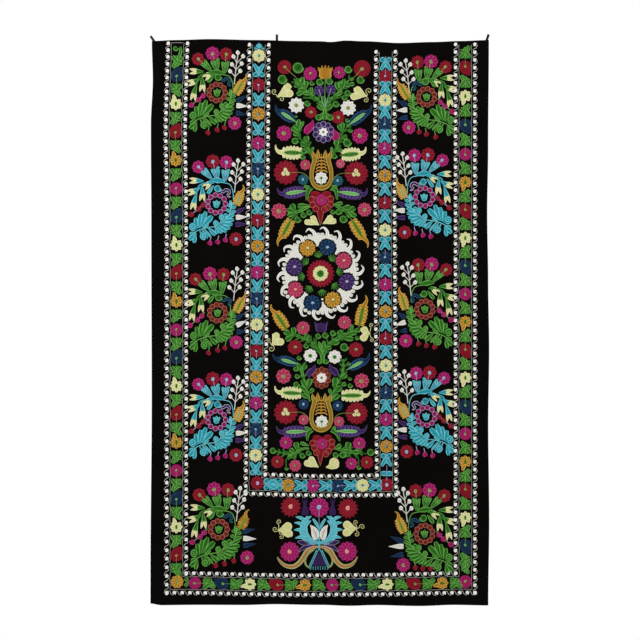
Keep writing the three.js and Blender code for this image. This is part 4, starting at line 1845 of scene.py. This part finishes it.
def smooth_mesh(name, points, faces):
    """A smoothly shaded mesh with its faces outwards, after its doubles are merged."""
    mesh = bpy.data.meshes.new(name)
    mesh.from_pydata(points.reshape(-1, 3).tolist(), [], faces.tolist())
    mesh.polygons.foreach_set("use_smooth", [True] * len(mesh.polygons))
    mesh.update()
    work = bmesh.new()
    work.from_mesh(mesh)
    bmesh.ops.remove_doubles(work, verts=work.verts, dist=DOUBLES)
    bmesh.ops.recalc_face_normals(work, faces=work.faces)
    work.to_mesh(mesh)
    work.free()
    return mesh


# Cloth and loops

# How far in from the edge the cloth's edge is rolled, and how close points are merged, in metres
EDGE_ROLL = 2.5
DOUBLES = 1e-7
# The furrow of the hem's seam on the front: depth and half width
SEAM_DEPTH = 0.45
SEAM_HALF = 1.2
# Millimetres between the cloth's points away from its hems
CLOTH_STEP = 14
# Points along the tape: round its eye, on each tail, and round its section
EYE_POINTS = 40
TAIL_POINTS = 10
SECTION_POINTS = 16


def grid_lines(length):
    """Places along one side of the cloth: close together at the hems, then even."""
    hem = np.array((0.0, 0.4, 1.1, EDGE_ROLL, 6.0, HEM_WIDTH - 2, HEM_WIDTH - 1, HEM_WIDTH,
                    HEM_WIDTH + 1, HEM_WIDTH + 4))
    inner = np.linspace(hem[-1], length - hem[-1], int(length / CLOTH_STEP))[1:-1]
    return np.concatenate((hem, inner, length - hem[::-1]))


def velvet_sheet():
    """The hemmed cloth: a front with rolled edges and a hem seam, and a plain back."""
    across, down = np.meshgrid(grid_lines(CLOTH_WIDTH) - CLOTH_WIDTH / 2, grid_lines(CLOTH_LENGTH))
    to_edge = np.minimum(CLOTH_WIDTH / 2 - np.abs(across), np.minimum(down, CLOTH_LENGTH - down))
    rolled = np.sqrt(np.clip(1 - (1 - np.clip(to_edge / EDGE_ROLL, 0, 1)) ** 2, 0, 1))
    seam = SEAM_DEPTH * np.exp(-(((to_edge - HEM_WIDTH) / SEAM_HALF) ** 2))
    hem = HEM_LAYER * np.clip((HEM_WIDTH + 0.5 - to_edge) / 1.5, 0, 1)
    middle = HEM_LAYER / 2
    front = cloth_points(across, down, middle + (-CLOTH_THICKNESS / 2 - middle) * rolled + seam)
    back = cloth_points(across, down, middle + (CLOTH_THICKNESS / 2 + hem - middle) * rolled)
    ids = np.arange(across.size).reshape(across.shape)
    # The outermost points of both faces fall together, so the back uses the front's.
    back_ids = ids + across.size
    back_ids[0, :], back_ids[-1, :] = ids[0, :], ids[-1, :]
    back_ids[:, 0], back_ids[:, -1] = ids[:, 0], ids[:, -1]
    points = np.concatenate((front.reshape(-1, 3), back.reshape(-1, 3)))
    faces = np.concatenate((quads(ids), quads(back_ids)[:, (0, 3, 2, 1)]))
    used, faces = np.unique(faces, return_inverse=True)
    return smooth_mesh("velvet_sheet", points[used], faces.reshape(-1, 4))


def tape_path():
    """The tape's middle line in depth and height: up, round the eye and down again."""
    layer = TAPE_THICKNESS / 2
    centre = EYE_ABOVE_EDGE + EYE_HEIGHT / 2
    depth = EYE_DEPTH / 2 + layer
    height = EYE_HEIGHT / 2 + layer
    neck = math.asin(layer / depth)
    turns = np.linspace(-math.pi / 2 - neck, -math.pi / 2 + neck - math.tau, EYE_POINTS)
    eye = TAPE_THICKNESS + depth * np.cos(turns) + 1j * (centre + height * np.sin(turns))
    up = TAPE_THICKNESS - layer + 1j * np.linspace(-TAPE_TAIL, eye[0].imag - 2, TAIL_POINTS)
    down = TAPE_THICKNESS + layer + 1j * np.linspace(eye[-1].imag - 2, -TAPE_TAIL, TAIL_POINTS)
    return np.concatenate((up, eye, down))


def tape_loop(name, across, lean):
    """One tape folded double round its eye, with rounded selvedges and closed ends."""
    path = tape_path()
    side = sideways(path)
    path = np.concatenate((path[:1], path, path[-1:]))
    side = np.concatenate((side[:1], side, side[-1:]))
    # The section shrinks to a point at both ends, which closes them.
    shares = np.ones(len(path))
    shares[[0, -1]] = 0.0
    columns = []
    for reach in around(SECTION_POINTS, 1.0, 0.0):
        wide = math.copysign(abs(reach.real) ** 0.35, reach.real) * TAPE_WIDTH / 2
        thick = math.copysign(abs(reach.imag) ** 0.6, reach.imag) * TAPE_THICKNESS / 2 * 0.96
        spot = path + side * thick * shares
        columns.append(on_loop(across, lean, wide * shares, spot.real, spot.imag))
    grid = np.stack(columns, 1)
    ids = np.arange(len(path) * SECTION_POINTS).reshape(len(path), SECTION_POINTS)
    return smooth_mesh(name, grid, quads(np.concatenate((ids, ids[:, :1]), axis=1)))


# The stage, in metres and watts

# Light from all round, and the floor under the hanging cloth
SOFT_LIGHT = 0.5
FLOOR_DROP = 0.26
FLOOR_HALF = 4.0
FLOOR_BEHIND = 0.75
# A large light at the upper left, and a weaker one at the right
KEY_PLACE = (-2.8, -4.2, 1.8)
KEY_SIZE = 1.4
KEY_POWER = 150.0
FILL_PLACE = (3.4, -4.6, -0.6)
FILL_SIZE = 2.4
FILL_SHARE = 0.3
LIGHT_AIM = (0.0, 0.0, -1.15)
# The photograph's frame on the cloth's plane, and the camera: its distance, its sensor in
# millimetres and how far it sees
FRAME_SIZE = 2.656
FRAME_CENTRE = (0.0, -1.157)
CAMERA_DISTANCE = 10.0
SENSOR_WIDTH = 36.0
FARTHEST = 100.0


def white_studio():
    """A world that is white behind the cloth and lights it softly."""
    world = bpy.data.worlds.new("white_studio")
    world.use_nodes = True
    tree = world.node_tree
    tree.nodes.clear()
    light = add_node(tree, "ShaderNodeBackground", Color=(1.0, 1.0, 1.0, 1.0), Strength=SOFT_LIGHT)
    sheet = add_node(tree, "ShaderNodeBackground", Color=(1.0, 1.0, 1.0, 1.0), Strength=1.0)
    path = add_node(tree, "ShaderNodeLightPath")
    mix = add_node(
        tree, "ShaderNodeMixShader",
        {0: path.outputs["Is Camera Ray"], 1: light.outputs[0], 2: sheet.outputs[0]},
    )
    add_node(tree, "ShaderNodeOutputWorld", {"Surface": mix.outputs[0]})
    return world


def add_area_light(name, place, size, power):
    """A soft square light that looks at the middle of the cloth."""
    data = bpy.data.lights.new(name, "AREA")
    data.size = size
    data.energy = power
    light = bpy.data.objects.new(name, data)
    light.location = place
    aim = np.array(LIGHT_AIM) - np.array(place)
    aim = aim / np.linalg.norm(aim)
    light.rotation_euler = (math.acos(-aim[2]), 0.0, math.atan2(aim[0], -aim[1]) + math.pi)
    bpy.context.scene.collection.objects.link(light)


# Sizes and colours that a user may change

class SuzaniSizes(bpy.types.PropertyGroup):
    """Sizes of the stitches and the light."""

    roundness: bpy.props.FloatProperty(
        name="Row roundness", description="Height of a row of stitches over half its width",
        default=ROW_ROUNDNESS, min=0.1, max=1.0,
    )
    link_length: bpy.props.FloatProperty(
        name="Chain link", description="Length of one chain link as it is drawn",
        default=LINK_LENGTH * MM, unit="LENGTH",
    )
    key_power: bpy.props.FloatProperty(
        name="Key light", description="Power of the large light at the upper left",
        default=KEY_POWER, unit="POWER",
    )


class SuzaniColours(bpy.types.PropertyGroup):
    """Colours of the cloth, the tape and each thread."""


def colour_property(name, hex_colour):
    """A colour that the sidebar shows."""
    return bpy.props.FloatVectorProperty(
        name=name, description="Colour of the " + name, subtype="COLOR", size=4, min=0.0,
        max=1.0, default=linear(hex_colour),
    )


COLOURS = {
    "velvet": "#070605", "velvet_pale": "#120F0C", "tape": "#12100E", "tape_pale": "#2A2723",
    "sewing": "#24201C", "sewing_pale": "#3E3832",
}
for thread_name, (deep, light) in THREADS.items():
    COLOURS[thread_name] = deep
    COLOURS[thread_name + "_pale"] = light
SuzaniColours.__annotations__ = {
    key: colour_property(key.replace("_", " "), value) for key, value in COLOURS.items()
}


def colour_of(key):
    """A colour as the sidebar has it now."""
    return tuple(getattr(bpy.context.scene.suzani_colours, key))


# Operators

class SUZANI_OT_cloth(bpy.types.Operator):
    """Makes the hemmed velvet cloth"""

    bl_idname = "suzani.cloth"
    bl_label = "Velvet cloth"

    def execute(self, context):
        mesh = velvet_sheet()
        mesh.materials.append(velvet_material(colour_of("velvet"), colour_of("velvet_pale")))
        piece = new_piece("velvet_hanging", mesh)
        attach(piece, "root")
        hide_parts("velvet_cloth")
        return {"FINISHED"}


class SUZANI_OT_loops(bpy.types.Operator):
    """Makes the three tape loops"""

    bl_idname = "suzani.loops"
    bl_label = "Tape loops"

    def execute(self, context):
        material = tape_material(colour_of("tape"), colour_of("tape_pale"))
        for name, across, lean in LOOPS:
            mesh = tape_loop("tape_" + name, across, lean)
            mesh.materials.append(material)
            piece = new_piece("tape_" + name, mesh)
            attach(piece, "root")
            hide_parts(name)
        return {"FINISHED"}


class SUZANI_OT_embroidery(bpy.types.Operator):
    """Sews borders, paisleys, centre panel and bouquet, one piece for each thread"""

    bl_idname = "suzani.embroidery"
    bl_label = "Embroidery"

    def execute(self, context):
        rows = {thread: [] for thread in THREADS}
        needle = Needle(rows)
        sew_borders(needle)
        sew_paisleys(needle)
        sew_panel_top(needle)
        sew_panel_middle(needle)
        sew_rosette(needle)
        sew_panel_bottom(needle)
        sew_bouquet(needle)
        tree = stitch_tree()
        sizes = context.scene.suzani_sizes
        for thread, sewn in rows.items():
            material = thread_material(thread, colour_of(thread), colour_of(thread + "_pale"))
            piece = made_by_nodes(
                "embroidery_" + thread, rows_mesh("embroidery_" + thread, sewn), tree,
                {"Roundness": sizes.roundness, "Link Length": sizes.link_length, "Thread": material},
            )
            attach(piece, "root")
        return {"FINISHED"}


class SUZANI_OT_sewing(bpy.types.Operator):
    """Sews the hem and the loops' tails by hand on the back"""

    bl_idname = "suzani.sewing"
    bl_label = "Hem and loop stitches"

    def execute(self, context):
        tree = hand_stitch_tree()
        material = sewing_material(colour_of("sewing"), colour_of("sewing_pale"))
        inputs = {
            "Length": HEM_STITCH_LENGTH * MM, "Thickness": HEM_STITCH_THICKNESS * MM,
            "Thread": material,
        }
        for name, stitches in (("hem_stitches", hem_places()), ("loop_stitches", loop_places())):
            piece = made_by_nodes(name, places_mesh(name, *stitches), tree, inputs)
            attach(piece, "root")
        return {"FINISHED"}


class SUZANI_OT_stage(bpy.types.Operator):
    """Sets the floor, the light and the camera"""

    bl_idname = "suzani.stage"
    bl_label = "Stage"

    def execute(self, context):
        floor_mesh = bpy.data.meshes.new("floor")
        low = CAD_BOX[0][2] - FLOOR_DROP
        floor_mesh.from_pydata(
            [(-FLOOR_HALF, -FLOOR_HALF, low), (FLOOR_HALF, -FLOOR_HALF, low),
             (FLOOR_HALF, FLOOR_BEHIND, low), (-FLOOR_HALF, FLOOR_BEHIND, low)], [],
            [(0, 1, 2, 3)],
        )
        floor_mesh.materials.append(floor_material())
        floor = new_piece("floor", floor_mesh)
        context.scene.world = white_studio()
        context.scene.view_settings.view_transform = "Standard"
        key_power = context.scene.suzani_sizes.key_power
        add_area_light("key_light", KEY_PLACE, KEY_SIZE, key_power)
        add_area_light("fill_light", FILL_PLACE, FILL_SIZE, FILL_SHARE * key_power)
        camera_data = bpy.data.cameras.new("camera")
        camera_data.sensor_width = SENSOR_WIDTH
        camera_data.lens = SENSOR_WIDTH * CAMERA_DISTANCE / FRAME_SIZE
        camera_data.clip_end = FARTHEST
        camera = bpy.data.objects.new("camera", camera_data)
        camera.location = (FRAME_CENTRE[0], -CAMERA_DISTANCE, FRAME_CENTRE[1])
        camera.rotation_euler = (math.pi / 2, 0.0, 0.0)
        context.scene.collection.objects.link(camera)
        context.scene.camera = camera
        return {"FINISHED"}


class SUZANI_PT_panel(bpy.types.Panel):
    """Lists the steps, sizes and colours"""

    bl_idname = "SUZANI_PT_panel"
    bl_label = "Suzani wall hanging"
    bl_space_type = "VIEW_3D"
    bl_region_type = "UI"
    bl_category = "Suzani"

    def draw(self, context):
        for step in STEPS:
            self.layout.operator(step.bl_idname)
        for group in (context.scene.suzani_sizes, context.scene.suzani_colours):
            for key in group.__annotations__:
                self.layout.prop(group, key)


STEPS = (SUZANI_OT_cloth, SUZANI_OT_loops, SUZANI_OT_sewing, SUZANI_OT_embroidery, SUZANI_OT_stage)
CLASSES = (SuzaniSizes, SuzaniColours) + STEPS + (SUZANI_PT_panel,)


def register():
    for item in CLASSES:
        bpy.utils.register_class(item)
    bpy.types.Scene.suzani_sizes = bpy.props.PointerProperty(type=SuzaniSizes)
    bpy.types.Scene.suzani_colours = bpy.props.PointerProperty(type=SuzaniColours)


def unregister():
    del bpy.types.Scene.suzani_colours
    del bpy.types.Scene.suzani_sizes
    for item in reversed(CLASSES):
        bpy.utils.unregister_class(item)


def main():
    register()
    bpy.ops.suzani.cloth()
    bpy.ops.suzani.loops()
    bpy.ops.suzani.sewing()
    bpy.ops.suzani.embroidery()
    bpy.ops.suzani.stage()


if __name__ == "__main__":
    main()
